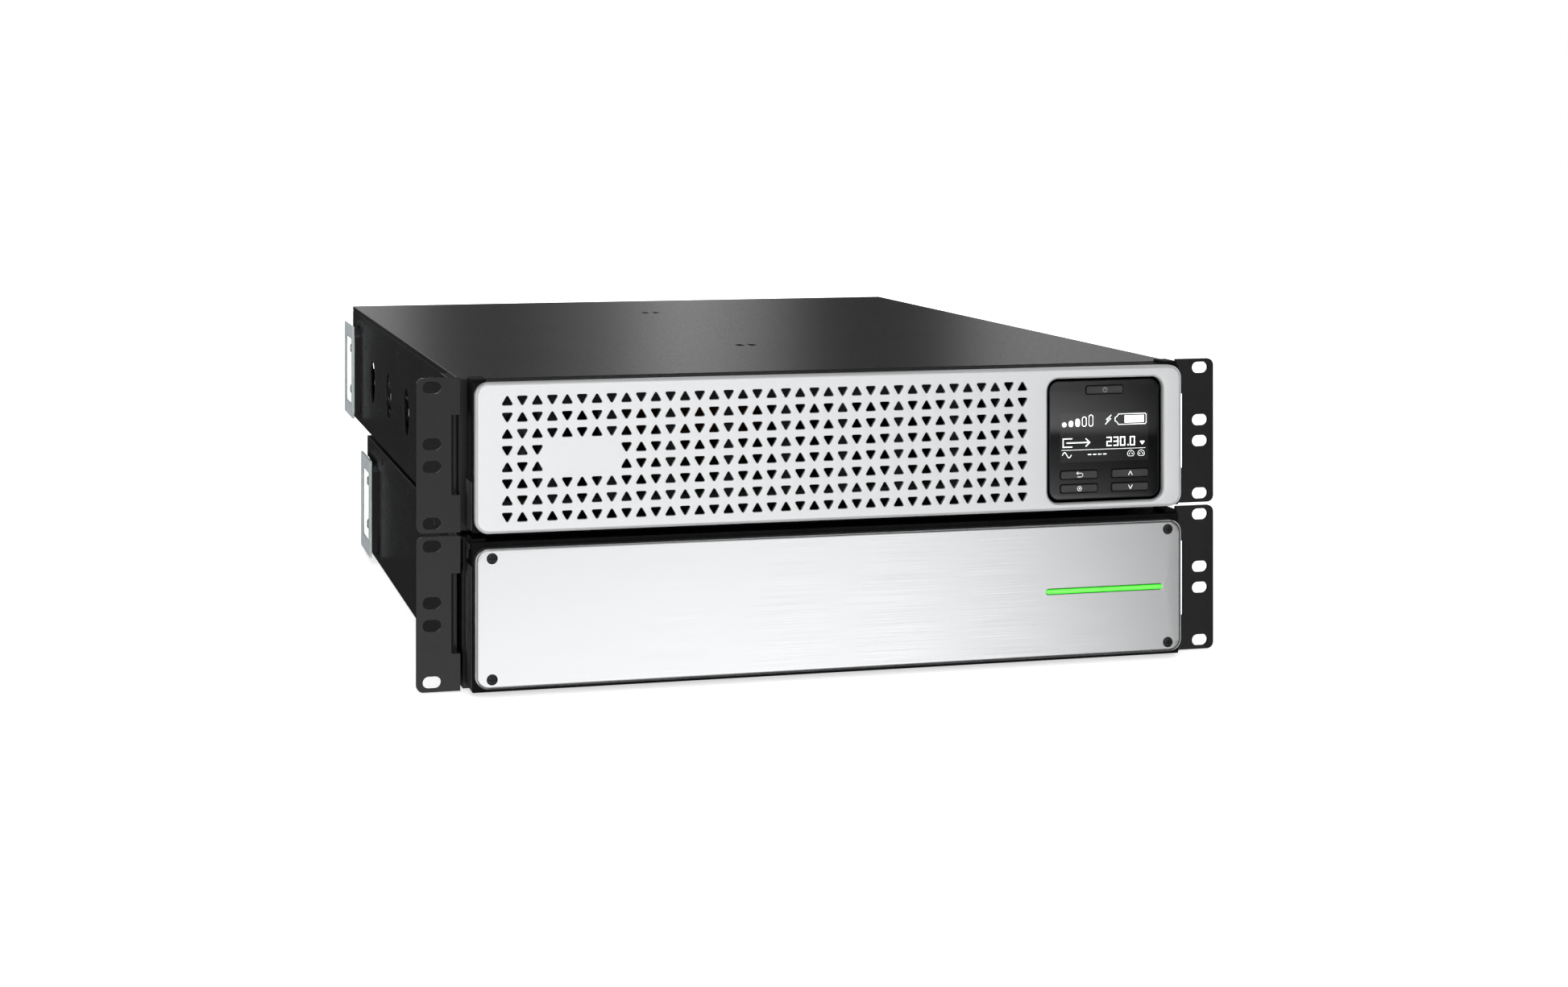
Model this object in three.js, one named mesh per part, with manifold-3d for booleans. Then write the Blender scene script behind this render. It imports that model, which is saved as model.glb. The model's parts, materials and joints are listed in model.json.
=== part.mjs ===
import * as THREE from "three";
import { mergeVertices } from "three/addons/utils/BufferGeometryUtils.js";
import Module from "manifold-3d";

// A rackmount uninterruptible power supply in millimetres: a 2U power module with a tilting
// display, stacked on a 2U lithium battery module. +X is right, -Y is the front and +Z is up.
// Inside a module, y is measured from the front face of the rack ears and z from its underside.

const wasm = await Module();
wasm.setup();

// Rack standard
const RACK_UNIT = 44.45;
const MODULE_PITCH = 2 * RACK_UNIT;
const RACK_PANEL_WIDTH = 482.6;
const EAR_HOLE_SPAN = 465.1;
const EAR_HOLE_HEIGHTS = [5.55, 37.3, 50, 81.75];

// Chassis of both modules
const GAP = 0.3;
const SHEET = 1.5;
const CHASSIS_WIDTH = 432.6;
const CHASSIS_HEIGHT = 85.5;
const CHASSIS_FRONT = 6;
const COVER_FRONT = 7.9;
const POWER_DEPTH = 607;
const BATTERY_DEPTH = 499;
const REAR_REACH = 613;
const FRONT_REACH = 23;
const HALF_WIDTH = CHASSIS_WIDTH / 2;
const COVER_UNDERSIDE = CHASSIS_HEIGHT - SHEET;
const COVER_LIP = 3;
const BATTERY_FLANGE_FOOT = 70.2;
const FRONT_VENTS = { first: -184, last: 96, pitch: 35, width: 24, z: 43, height: 54 };
const CABLE_HOLE = { width: 46, height: 36 };
const LAMP_HOLE = { width: 60, height: 20 };
const SIDE_HOLES = { ys: [257, 360, 463], z: 39.8, radius: 15.75 };
const SMALL_SIDE_HOLES = { y: 511, zs: [14.7, 60.1], radius: 2.2 };
const KNOCKOUTS = { x: -5, ys: [183, 478], radius: 7, bridge: 4 };

// Rack ears
const EAR_THICKNESS = 2;
const EAR_HEIGHT = 87;
const EAR_FOOT = 0.15;
const EAR_CORNER = 4;
const EAR_SLOT_WIDTH = 10.3;
const EAR_SLOT_HEIGHT = 6.8;
const EAR_FLANGE_LENGTH = 70;
const EAR_FLANGE_FOOT = 3;
const EAR_FLANGE_TOP = 83;
const EAR_RELIEF_FOOT = 21;
const EAR_RELIEF_HEIGHT = 45;
const EAR_RELIEF_WIDTH = 5;
const EAR_RELIEF_DEPTH = 14;

// Front frames, bezel and battery front plate
const FACE = -22;
const FACE_BACK = -15.3;
const FACE_WIDTH = 422.4;
const FACE_CORNER = 7.5;
const FACE_EDGE = 2;
const FACE_WALL = 2.2;
const BEZEL_HEIGHT = 84;
const BEZEL_Z = 43.7;
const PLATE_HEIGHT = 78.5;
const PLATE_Z = 43.35;
const FRAME_WIDTH = 424;
const FRAME_FRONT = -15;
const FRAME_BACK = 5.7;
const FRAME_FOOT = 1.6;
const FRAME_TOP = 85.4;
const LATCH = { width: 8, foot: 78, top: 87.2, setBack: 2 };
const GRILLE_BAY = { left: -204, right: 116, foot: 8, top: 79 };
const PLATE_BAY = { left: -195, right: 110, foot: 12, top: 74 };
const LAMP_BAY = { width: 80, height: 40 };
const PLATE_SCREW_X = 202;
const PLATE_SCREW_ROWS = [
  { level: "upper", z: 77.2 },
  { level: "lower", z: 10 },
];
const SCREW_BOSS = 10;
const SCREW_HEAD_RADIUS = 3.05;
const SCREW_SHANK_RADIUS = 1.5;
const SCREW_THREAD_RADIUS = 1.8;
const SCREW_HOLE_RADIUS = 2.2;
const SCREW_TIP = -4;
const LIGHT_BAR = { x: 161.8, z: 43.3, width: 73, height: 3, back: -13 };
const LIGHT_BAR_FOOT = { width: 78, height: 8, back: -17 };

// Grille of triangles in the bezel
const GRILLE_ROWS = 8;
const GRILLE_COLUMNS = 37;
const GRILLE_LEFT = -193.5;
const GRILLE_TOP = 75.65;
const COLUMN_PITCH = 8.44;
const ROW_PITCH = 9.264;
const HOLE_WIDTH = 5.9;
const HOLE_HEIGHT = 5.3;
const BADGE_COLUMNS = [3, 7];
const BADGE_ROWS = [3, 4];

// Display, centred on DISPLAY_X, DISPLAY_Z of the power module
const DISPLAY_X = 162.6;
const DISPLAY_Z = 42.7;
const DISPLAY_WIDTH = 69.5;
const DISPLAY_HEIGHT = 70;
const DISPLAY_CORNER = 6;
const OPENING_WIDTH = 73;
const OPENING_HEIGHT = 73.2;
const OPENING_CORNER = 8;
const COLLAR_WALL = 2;
const COLLAR_BACK = -18.3;
const BAY_WIDTH = 72.2;
const BAY_HEIGHT = 73.8;
const WINDOW_FRONT = -19.5;
const HOUSING_FRONT = -18.2;
const HOUSING_BACK = -9.5;
const HOUSING_WALL = 2;
const SCREEN = { z: 1.5, width: 58, height: 32, front: -16.4, back: -14.2 };
const DISPLAY_BOARD = { width: 62, height: 62.6, front: -12.9, back: -11.3 };
const PIVOT_Y = -15.5;
const PIVOT_Z = 30.1;
const PIN_RADIUS = 1.2;
const PIN_INNER = 32.2;
const PIN_OUTER = 39.6;
const PIVOT_LUG = { width: 4, height: 8, front: -18 };
const BUTTON_WIDTH = 23;
const BUTTON_HEIGHT = 4.6;
const BUTTON_CORNER = 1.2;
const BUTTON_FRONT = -20.6;
const BUTTON_BACK = -14.6;
const BUTTON_CLEARANCE = 0.4;
const KEY_FLANGE = { widthwise: 0.9, heightwise: 0.6, front: -16.4, back: -15.4 };
const BUTTONS = [
  { name: "power_button", x: 0, z: 29.4 },
  { name: "escape_button", x: -16.1, z: -20.4 },
  { name: "enter_button", x: -16.1, z: -28.5 },
  { name: "up_button", x: 16.1, z: -20.4 },
  { name: "down_button", x: 16.1, z: -28.5 },
];

// Rear of the modules
const BRACKET_STANDOFF = 6.5;
const BRACKET_LENGTH = 62;
const BRACKET_FOOT = 4;
const BRACKET_TOP = 74;
const BRACKET_LEG_FOOT = 8;
const BRACKET_LEG_TOP = 66;
const BRACKET_WINDOW_INSET = { y: 9, z: 10 };
const BOARD = { halfWidth: 210, front: 60, back: 560, foot: 8, top: 9.6 };
const BOARD_POST_RADIUS = 4;
const ON_BOARD = BOARD.top + GAP;
const HEATSINK = { inner: 170, outer: 208, web: 6, front: 232, back: 500, top: 72 };
const FIN = { first: 14, last: 68, pitch: 9, thickness: 2.5 };
const CORE = { left: -60, right: 40, front: 300, back: 350, top: 66 };
const WINDING = { inset: 20, overhang: 14, foot: 16, top: 60 };
const CAPACITORS = { x: 80, ys: [430, 475], radius: 18, top: 72 };
const CELL_PACK = { inner: 8, outer: 204, front: 30, back: 400, foot: 2.2, top: 70 };
const PACK_GROOVES = { first: 60, last: 370, pitch: 31, width: 3, depth: 4 };
const MONITOR_BOARD = { left: -190, right: -20, front: 410, back: 480, foot: 12, top: 13.6 };
const STRIP = { inner: 188, outer: 206, front: 40, back: 470 };
const FAN_SIZE = 60;
const FAN_DEPTH = 20;
const FAN_DUCT_RADIUS = 28;
const FAN_HUB_RADIUS = 12;
const FAN_BLADES = 7;
const FAN_BLADE = { length: 16, thickness: 1.4, width: 13 };
const FAN_SPOKE = 3;
const FAN_Z = 43;
const FANS = [
  { side: "left", x: -175 },
  { side: "right", x: -105 },
];
const FLANGE = 2;
const FLANGE_RIM = { widthwise: 2, heightwise: 1 };
const INLET = { x: -36, z: 26, width: 34, height: 28, depth: 24 };
const INLET_CAVITY = { width: 27, height: 21, depth: 17 };
const INLET_BLADE = { width: 2, height: 8, z: -4, pitch: 7 };
const BREAKER = { x: -36, z: 64, radius: 6, bore: 4, button: 3.5, depth: 26 };
const OUTLETS = { x: 52, upper: 62, lower: 24, width: 116, height: 26, depth: 20 };
const OUTLET_PITCH = 28;
const OUTLET_RECESS = { width: 24.4, height: 17, corner: 2.5, depth: 12 };
const OUTLET_TONGUE = { width: 19.6, height: 12.2 };
const CONTACT_SLOT = { width: 2.2, height: 6.2, x: 6.5 };
const CARD_SLOT = { x: 164, z: 64, width: 84, height: 26 };
const PORTS = { x: 142, z: 25, width: 40, height: 18, depth: 16 };
const DATA_SOCKET = { xs: [-12, 3], width: 12, height: 9, depth: 12 };
const SERVICE_PORT = { x: 14.5, width: 4.5, height: 12, depth: 8 };
const LEAD_SOCKET = { x: 187, z: 25, width: 36, height: 24, depth: 20 };
const PACK_SOCKET = { x: 150, z: 36, width: 36, height: 24, depth: 20 };
const SOCKET_POLE = { x: 8.5, width: 12, height: 17, depth: 15 };
const DISCONNECT = { x: 80, z: 40, width: 26, height: 46, depth: 22 };
const DISCONNECT_NOSE = { width: 22, height: 26, reach: 8 };
const DISCONNECT_SLOT = { width: 12.8, height: 19, depth: 9 };
const LEVER = { width: 10, reach: 16, thickness: 5, drumRadius: 7.5, drumWidth: 12, lean: Math.PI / 7 };
const REAR_VENTS = { first: -180, last: -60, pitch: 12, width: 5, z: 42, height: 40 };

// Cutters run this far past the faces that they cut through
const PAST = 5;
const FAR_PAST = 30;

const finish = (color, roughness, metalness) =>
  new THREE.MeshStandardMaterial({ color, roughness, metalness });
const blackSteel = finish(0x2a2b2d, 0.42, 0.35);
const earSteel = finish(0x303134, 0.5, 0.3);
const silver = finish(0xd8dadc, 0.3, 0.75);
const brushedPlate = finish(0xc9cbcd, 0.28, 0.9);
const blackPlastic = finish(0x17181a, 0.5, 0);
const glossBlack = finish(0x0b0c0e, 0.08, 0);
const keyPlastic = finish(0x2f3032, 0.4, 0);
const zincPlate = finish(0xaeb6ba, 0.35, 0.9);
const screwSteel = finish(0x1c1d1f, 0.35, 0.8);
const greenLight = finish(0x59f53c, 0.3, 0);
const boardGreen = finish(0x1f5a35, 0.5, 0);
const aluminium = finish(0xb9bcbf, 0.4, 0.85);
const rubber = finish(0x121212, 0.9, 0);
const screenGlass = finish(0x1a1d20, 0.15, 0);
const packBlue = finish(0x2d4a6b, 0.5, 0);
const coilCopper = finish(0x8a5a33, 0.45, 0.6);

// A closed geometry as a solid that can be joined and cut
function solidOf(geometry) {
  geometry.deleteAttribute("normal");
  geometry.deleteAttribute("uv");
  const merged = mergeVertices(geometry, 1e-4);
  const mesh = new wasm.Mesh({
    numProp: 3,
    vertProperties: merged.attributes.position.array,
    triVerts: new Uint32Array(merged.index.array),
  });
  return new wasm.Manifold(mesh);
}

function geometryOf(solid) {
  const mesh = solid.getMesh();
  const geometry = new THREE.BufferGeometry();
  geometry.setAttribute("position", new THREE.BufferAttribute(mesh.vertProperties, 3));
  geometry.setIndex(new THREE.BufferAttribute(mesh.triVerts, 1));
  const faceted = geometry.toNonIndexed();
  faceted.computeVertexNormals();
  return faceted;
}

function join(solids) {
  return wasm.Manifold.union(solids);
}

function cut(solid, cutters) {
  return solid.subtract(join(cutters));
}

function box(x0, x1, y0, y1, z0, z1) {
  const geometry = new THREE.BoxGeometry(x1 - x0, y1 - y0, z1 - z0);
  geometry.translate((x0 + x1) / 2, (y0 + y1) / 2, (z0 + z1) / 2);
  return solidOf(geometry);
}

// A box centred on x and z, from front to back
function block(x, z, width, height, front, back) {
  return box(x - width / 2, x + width / 2, front, back, z - height / 2, z + height / 2);
}

// A shape drawn in x and z, from front to back
function plate(shape, front, back, curveSegments = 3) {
  const depth = back - front;
  const geometry = new THREE.ExtrudeGeometry(shape, { depth, bevelEnabled: false, curveSegments });
  geometry.rotateX(Math.PI / 2);
  geometry.translate(0, back, 0);
  return solidOf(geometry);
}

function rodY(x, z, radius, front, back, sides = 16) {
  const geometry = new THREE.CylinderGeometry(radius, radius, back - front, sides);
  geometry.translate(x, (front + back) / 2, z);
  return solidOf(geometry);
}

function rodX(y, z, radius, left, right, sides = 16) {
  const geometry = new THREE.CylinderGeometry(radius, radius, right - left, sides);
  geometry.rotateZ(Math.PI / 2);
  geometry.translate((left + right) / 2, y, z);
  return solidOf(geometry);
}

function rodZ(x, y, radius, foot, top, sides = 16) {
  const geometry = new THREE.CylinderGeometry(radius, radius, top - foot, sides);
  geometry.rotateX(Math.PI / 2);
  geometry.translate(x, y, (foot + top) / 2);
  return solidOf(geometry);
}

function roundedRect(x, z, width, height, radius) {
  const shape = new THREE.Shape();
  const dx = width / 2 - radius;
  const dz = height / 2 - radius;
  const quarter = Math.PI / 2;
  shape.absarc(x + dx, z + dz, radius, 0, quarter, false);
  shape.absarc(x - dx, z + dz, radius, quarter, 2 * quarter, false);
  shape.absarc(x - dx, z - dz, radius, 2 * quarter, 3 * quarter, false);
  shape.absarc(x + dx, z - dz, radius, 3 * quarter, 4 * quarter, false);
  return shape;
}

// Round-ended slot
function slotShape(x, z, width, height) {
  return roundedRect(x, z, width, height, height / 2 - 0.01);
}

function add(group, name, solid, material) {
  const mesh = new THREE.Mesh(geometryOf(solid), material);
  mesh.name = name;
  group.add(mesh);
  return mesh;
}

// Adds a piece drawn on the right side once on each side
function addPair(group, prefix, solid, material) {
  add(group, prefix + "_right", solid, material);
  const left = add(group, prefix + "_left", solid, material);
  left.scale.x = -1;
}

// ---- Sheet-metal chassis ----

// Floor, two sides and a front wall folded from one sheet, with posts for the board inside
function baseTray(halfWidth, depth, wallTop) {
  const inside = halfWidth - SHEET;
  const shell = box(-halfWidth, halfWidth, CHASSIS_FRONT, depth, 0, wallTop);
  const hollow = box(-inside, inside, CHASSIS_FRONT + SHEET, depth + 1, SHEET, wallTop + 1);
  const frontTop = CHASSIS_HEIGHT - GAP;
  const front = box(-halfWidth, halfWidth, CHASSIS_FRONT, CHASSIS_FRONT + SHEET, 0, frontTop);
  return shell.subtract(hollow).add(front);
}

function boardPosts(xs, ys) {
  const top = BOARD.foot - GAP;
  return xs.flatMap((x) => ys.map((y) => rodZ(x, y, BOARD_POST_RADIUS, SHEET / 2, top, 8)));
}

// A cutter through the chassis front wall
function throughFront(x, z, width, height) {
  return block(x, z, width, height, CHASSIS_FRONT - 1, CHASSIS_FRONT + SHEET + 1);
}

// A cutter through both sides of the chassis
function throughSides(y, z, radius, sides) {
  return rodX(y, z, radius, -HALF_WIDTH - PAST, HALF_WIDTH + PAST, sides);
}

function powerTray() {
  const vents = [];
  for (let x = FRONT_VENTS.first; x <= FRONT_VENTS.last; x += FRONT_VENTS.pitch) {
    vents.push(throughFront(x, FRONT_VENTS.z, FRONT_VENTS.width, FRONT_VENTS.height));
  }
  const cableHole = throughFront(DISPLAY_X, DISPLAY_Z, CABLE_HOLE.width, CABLE_HOLE.height);
  const largeHoles = SIDE_HOLES.ys.map((y) => throughSides(y, SIDE_HOLES.z, SIDE_HOLES.radius, 20));
  const smallHoles = SMALL_SIDE_HOLES.zs.map((z) =>
    throughSides(SMALL_SIDE_HOLES.y, z, SMALL_SIDE_HOLES.radius, 8));
  const tray = baseTray(HALF_WIDTH, POWER_DEPTH, CHASSIS_HEIGHT - COVER_LIP - GAP);
  const holed = cut(tray, [...vents, cableHole, ...largeHoles, ...smallHoles]);
  return join([holed, ...boardPosts([-195, 0, 195], [80, 540])]);
}

// Flat top with a short lip on each side and two round knock-outs, each crossed by a bridge
function powerCover() {
  const outer = box(-HALF_WIDTH, HALF_WIDTH, COVER_FRONT, POWER_DEPTH, CHASSIS_HEIGHT - COVER_LIP,
    CHASSIS_HEIGHT);
  const inside = HALF_WIDTH - SHEET;
  const hollow = box(-inside, inside, 0, POWER_DEPTH + 1, 0, COVER_UNDERSIDE);
  const knockouts = KNOCKOUTS.ys.map((y) => {
    const { x, radius, bridge } = KNOCKOUTS;
    const disc = rodZ(x, y, radius, COVER_UNDERSIDE - 1, CHASSIS_HEIGHT + 1);
    const web = box(x - bridge / 2, x + bridge / 2, y - radius - 1, y + radius + 1, 0, CHASSIS_HEIGHT + 2);
    return disc.subtract(web);
  });
  return cut(outer, [hollow, ...knockouts]);
}

// The battery cover's sides come well down over the tray
function batteryCover() {
  const outer = box(-HALF_WIDTH, HALF_WIDTH, COVER_FRONT, BATTERY_DEPTH, BATTERY_FLANGE_FOOT,
    CHASSIS_HEIGHT);
  const inside = HALF_WIDTH - SHEET;
  return outer.subtract(box(-inside, inside, 0, BATTERY_DEPTH + 1, 0, COVER_UNDERSIDE));
}

function batteryTray() {
  const halfWidth = HALF_WIDTH - SHEET - GAP;
  const tray = baseTray(halfWidth, BATTERY_DEPTH, COVER_UNDERSIDE - GAP);
  return tray.subtract(throughFront(DISPLAY_X, PLATE_Z, LAMP_HOLE.width, LAMP_HOLE.height));
}

// An ear of the right side: slotted face, and a flange along the chassis side
function rackEar() {
  const inner = HALF_WIDTH + GAP;
  const outer = RACK_PANEL_WIDTH / 2;
  const top = EAR_FOOT + EAR_HEIGHT;
  const slotX = EAR_HOLE_SPAN / 2;
  const face = new THREE.Shape();
  face.moveTo(inner, top);
  face.lineTo(inner, EAR_FOOT);
  face.absarc(outer - EAR_CORNER, EAR_FOOT + EAR_CORNER, EAR_CORNER, -Math.PI / 2, 0, false);
  face.absarc(outer - EAR_CORNER, top - EAR_CORNER, EAR_CORNER, 0, Math.PI / 2, false);
  const slots = EAR_HOLE_HEIGHTS.map((z) =>
    plate(slotShape(slotX, z, EAR_SLOT_WIDTH, EAR_SLOT_HEIGHT), -PAST, PAST));
  const flange = box(inner, inner + EAR_THICKNESS, 0, EAR_FLANGE_LENGTH, EAR_FLANGE_FOOT, EAR_FLANGE_TOP);
  const reliefFoot = EAR_FOOT + EAR_RELIEF_FOOT;
  const relief = box(inner - 1, inner + EAR_RELIEF_WIDTH, -1, EAR_RELIEF_DEPTH, reliefFoot,
    reliefFoot + EAR_RELIEF_HEIGHT);
  return cut(plate(face, 0, EAR_THICKNESS, 3).add(flange), [relief, ...slots]);
}

// A zinc-plated bracket standing off the chassis side at the rear, with a window to reach its screws
function rearBracket(wall, rear) {
  const outer = wall + BRACKET_STANDOFF;
  const front = rear - BRACKET_LENGTH;
  const face = box(outer - SHEET, outer, front, rear, BRACKET_FOOT, BRACKET_TOP);
  const leg = box(wall + GAP, outer, front, front + SHEET, BRACKET_LEG_FOOT, BRACKET_LEG_TOP);
  const inset = BRACKET_WINDOW_INSET;
  const window = box(outer - SHEET - 1, outer + 1, front + inset.y, rear - inset.y,
    BRACKET_FOOT + inset.z, BRACKET_TOP - inset.z);
  return join([face, leg]).subtract(window);
}

// ---- Front ----

function bayCutter({ left, right, foot, top }) {
  return box(left, right, -FAR_PAST, FAR_PAST, foot, top);
}

// Black frame behind a front panel: a ring with a latch block on each upper corner
function frontFrame(windows) {
  const half = FRAME_WIDTH / 2;
  const ring = box(-half, half, FRAME_FRONT, FRAME_BACK, FRAME_FOOT, FRAME_TOP);
  const latches = [-1, 1].map((side) =>
    block(side * (half - LATCH.width / 2), (LATCH.top + LATCH.foot) / 2, LATCH.width, LATCH.top - LATCH.foot,
      FRAME_FRONT + LATCH.setBack, FRAME_BACK - 1));
  return cut(join([ring, ...latches]), windows);
}

function powerFrame() {
  const displayBay = block(DISPLAY_X, DISPLAY_Z, BAY_WIDTH, BAY_HEIGHT, -FAR_PAST, FAR_PAST);
  const frame = frontFrame([bayCutter(GRILLE_BAY), displayBay]);
  const { width, height, front } = PIVOT_LUG;
  const pivotZ = DISPLAY_Z + PIVOT_Z;
  const lugs = [-1, 1].map((side) =>
    block(DISPLAY_X + side * (BAY_WIDTH + width) / 2, pivotZ, width, height, front, FRAME_FRONT + 1));
  const reach = PIN_OUTER + GAP;
  const pinHole = rodX(PIVOT_Y, pivotZ, PIN_RADIUS + GAP, DISPLAY_X - reach, DISPLAY_X + reach, 12);
  return join([frame, ...lugs]).subtract(pinHole);
}

// A front panel as a pan: rounded front edges, flat at the back and hollow behind
function facePan(z, height) {
  const shape = roundedRect(0, z, FACE_WIDTH - 2 * FACE_EDGE, height - 2 * FACE_EDGE,
    FACE_CORNER - FACE_EDGE);
  const depth = 12;
  const geometry = new THREE.ExtrudeGeometry(shape, {
    depth,
    bevelThickness: FACE_EDGE,
    bevelSize: FACE_EDGE,
    bevelSegments: 2,
    curveSegments: 3,
  });
  geometry.rotateX(Math.PI / 2);
  geometry.translate(0, FACE + FACE_EDGE + depth, 0);
  const pocket = roundedRect(0, z, FACE_WIDTH - 2 * FACE_WALL, height - 2 * FACE_WALL,
    FACE_CORNER - FACE_EDGE);
  const behind = box(-FACE_WIDTH, FACE_WIDTH, FACE_BACK, FAR_PAST, -height, 2 * height);
  return cut(solidOf(geometry), [plate(pocket, FACE + FACE_WALL, 0), behind]);
}

function triangle(x, z, pointsUp) {
  const reach = pointsUp ? HOLE_HEIGHT / 2 : -HOLE_HEIGHT / 2;
  const shape = new THREE.Shape();
  shape.moveTo(x - HOLE_WIDTH / 2, z - reach);
  shape.lineTo(x + HOLE_WIDTH / 2, z - reach);
  shape.lineTo(x, z + reach);
  return shape;
}

function grilleHoles() {
  const holes = [];
  for (let row = 0; row < GRILLE_ROWS; row++) {
    for (let column = 0; column < GRILLE_COLUMNS; column++) {
      const inBadge = BADGE_ROWS.includes(row) && column >= BADGE_COLUMNS[0] &&
        column <= BADGE_COLUMNS[1];
      if (!inBadge) {
        const x = GRILLE_LEFT + column * COLUMN_PITCH;
        const z = GRILLE_TOP - row * ROW_PITCH;
        const shape = triangle(x, z, (row + column) % 2 === 0);
        holes.push(plate(shape, FACE - 1, FACE + FACE_WALL + 1));
      }
    }
  }
  return holes;
}

function bezel() {
  const collar = roundedRect(DISPLAY_X, DISPLAY_Z, OPENING_WIDTH + 2 * COLLAR_WALL,
    OPENING_HEIGHT + 2 * COLLAR_WALL, OPENING_CORNER + COLLAR_WALL);
  const opening = roundedRect(DISPLAY_X, DISPLAY_Z, OPENING_WIDTH, OPENING_HEIGHT, OPENING_CORNER);
  const walled = facePan(BEZEL_Z, BEZEL_HEIGHT).add(plate(collar, FACE + FACE_WALL / 2, COLLAR_BACK));
  return cut(walled, [plate(opening, FACE - 1, 0), ...grilleHoles()]);
}

function screwPlaces() {
  return PLATE_SCREW_ROWS.flatMap(({ level, z }) => [
    { name: level + "_left", x: -PLATE_SCREW_X, z },
    { name: level + "_right", x: PLATE_SCREW_X, z },
  ]);
}

function batteryPlate() {
  const bosses = screwPlaces().map(({ x, z }) => block(x, z, SCREW_BOSS, SCREW_BOSS, FACE + 1, FACE_BACK));
  const { x, z, width, height } = LIGHT_BAR;
  const lampSlot = plate(slotShape(x, z, width + 2 * GAP, height + 2 * GAP), -FAR_PAST, 0);
  const screwHoles = screwPlaces().map((place) =>
    rodY(place.x, place.z, SCREW_HOLE_RADIUS, -FAR_PAST, 0, 8));
  return cut(join([facePan(PLATE_Z, PLATE_HEIGHT), ...bosses]), [lampSlot, ...screwHoles]);
}

function batteryFrame() {
  const lampBay = block(DISPLAY_X, PLATE_Z, LAMP_BAY.width, LAMP_BAY.height, -FAR_PAST, FAR_PAST);
  const threads = screwPlaces().map(({ x, z }) =>
    rodY(x, z, SCREW_THREAD_RADIUS, -FAR_PAST, SCREW_TIP + 1, 8));
  return frontFrame([bayCutter(PLATE_BAY), lampBay, ...threads]);
}

// Pan-head screw with a cross recess, through the front plate into the frame
function plateScrew() {
  const head = rodY(0, 0, SCREW_HEAD_RADIUS, -FRONT_REACH, FACE - GAP);
  const shank = rodY(0, 0, SCREW_SHANK_RADIUS, FACE - GAP - 0.2, SCREW_TIP, 8);
  const across = 3.6;
  const slit = 0.9;
  const recess = [
    block(0, 0, across, slit, -FRONT_REACH - 1, -FRONT_REACH + 0.5),
    block(0, 0, slit, across, -FRONT_REACH - 1, -FRONT_REACH + 0.5),
  ];
  return cut(head.add(shank), recess);
}

function lightBar() {
  const lens = plate(slotShape(0, 0, LIGHT_BAR.width, LIGHT_BAR.height), FACE, LIGHT_BAR.back);
  const foot = block(0, 0, LIGHT_BAR_FOOT.width, LIGHT_BAR_FOOT.height, FACE + FACE_WALL + GAP,
    LIGHT_BAR_FOOT.back);
  return lens.add(foot);
}

// ---- Display ----

function displayOutline() {
  return roundedRect(0, 0, DISPLAY_WIDTH, DISPLAY_HEIGHT, DISPLAY_CORNER);
}

function displayHousing() {
  const inner = roundedRect(0, 0, DISPLAY_WIDTH - 2 * HOUSING_WALL, DISPLAY_HEIGHT - 2 * HOUSING_WALL,
    DISPLAY_CORNER - HOUSING_WALL);
  const pocket = plate(inner, HOUSING_FRONT + SHEET, 0);
  const aperture = block(0, SCREEN.z, SCREEN.width - 1, SCREEN.height - 1, -FAR_PAST, 0);
  const keyHoles = BUTTONS.map(({ x, z }) =>
    block(x, z, BUTTON_WIDTH + 2 * BUTTON_CLEARANCE, BUTTON_HEIGHT + 2 * BUTTON_CLEARANCE, -FAR_PAST,
      HOUSING_FRONT + SHEET + 0.5));
  const pinHole = rodX(PIVOT_Y, PIVOT_Z, PIN_RADIUS + GAP, -PIN_OUTER, PIN_OUTER, 12);
  return cut(plate(displayOutline(), HOUSING_FRONT, HOUSING_BACK), [pocket, aperture, ...keyHoles, pinHole]);
}

function displayWindow() {
  const keyHoles = BUTTONS.map(({ x, z }) => {
    const shape = roundedRect(x, z, BUTTON_WIDTH + 2 * BUTTON_CLEARANCE,
      BUTTON_HEIGHT + 2 * BUTTON_CLEARANCE, BUTTON_CORNER + 0.2);
    return plate(shape, WINDOW_FRONT - 1, 0, 2);
  });
  return cut(plate(displayOutline(), WINDOW_FRONT, HOUSING_FRONT - GAP), keyHoles);
}

// A key bar with a flange behind the housing wall that keeps it in
function keyBar() {
  const shape = roundedRect(0, 0, BUTTON_WIDTH, BUTTON_HEIGHT, BUTTON_CORNER);
  const { widthwise, heightwise, front, back } = KEY_FLANGE;
  const flange = block(0, 0, BUTTON_WIDTH + 2 * widthwise, BUTTON_HEIGHT + 2 * heightwise, front, back);
  return plate(shape, BUTTON_FRONT, BUTTON_BACK, 2).add(flange);
}

// The board carries one switch under each key
function displayBoard() {
  const { width, height, front, back } = DISPLAY_BOARD;
  const switches = BUTTONS.map(({ x, z }) => block(x, z, 6, 4, front - 0.6, front + 0.5));
  return join([block(0, 0, width, height, front, back), ...switches]);
}

function addDisplay(group) {
  const screen = block(0, SCREEN.z, SCREEN.width, SCREEN.height, SCREEN.front, SCREEN.back);
  add(group, "display_housing", displayHousing(), blackPlastic);
  add(group, "display_window", displayWindow(), glossBlack);
  add(group, "lcd_panel", screen, screenGlass);
  add(group, "display_board", displayBoard(), boardGreen);
  for (const { name, x, z } of BUTTONS) {
    const key = add(group, name, keyBar(), keyPlastic);
    key.position.set(x, 0, z);
  }
  const pin = rodX(PIVOT_Y, PIVOT_Z, PIN_RADIUS, PIN_INNER, PIN_OUTER, 12);
  addPair(group, "display_pin", pin, screwSteel);
}

// ---- Inside the power module ----

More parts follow.
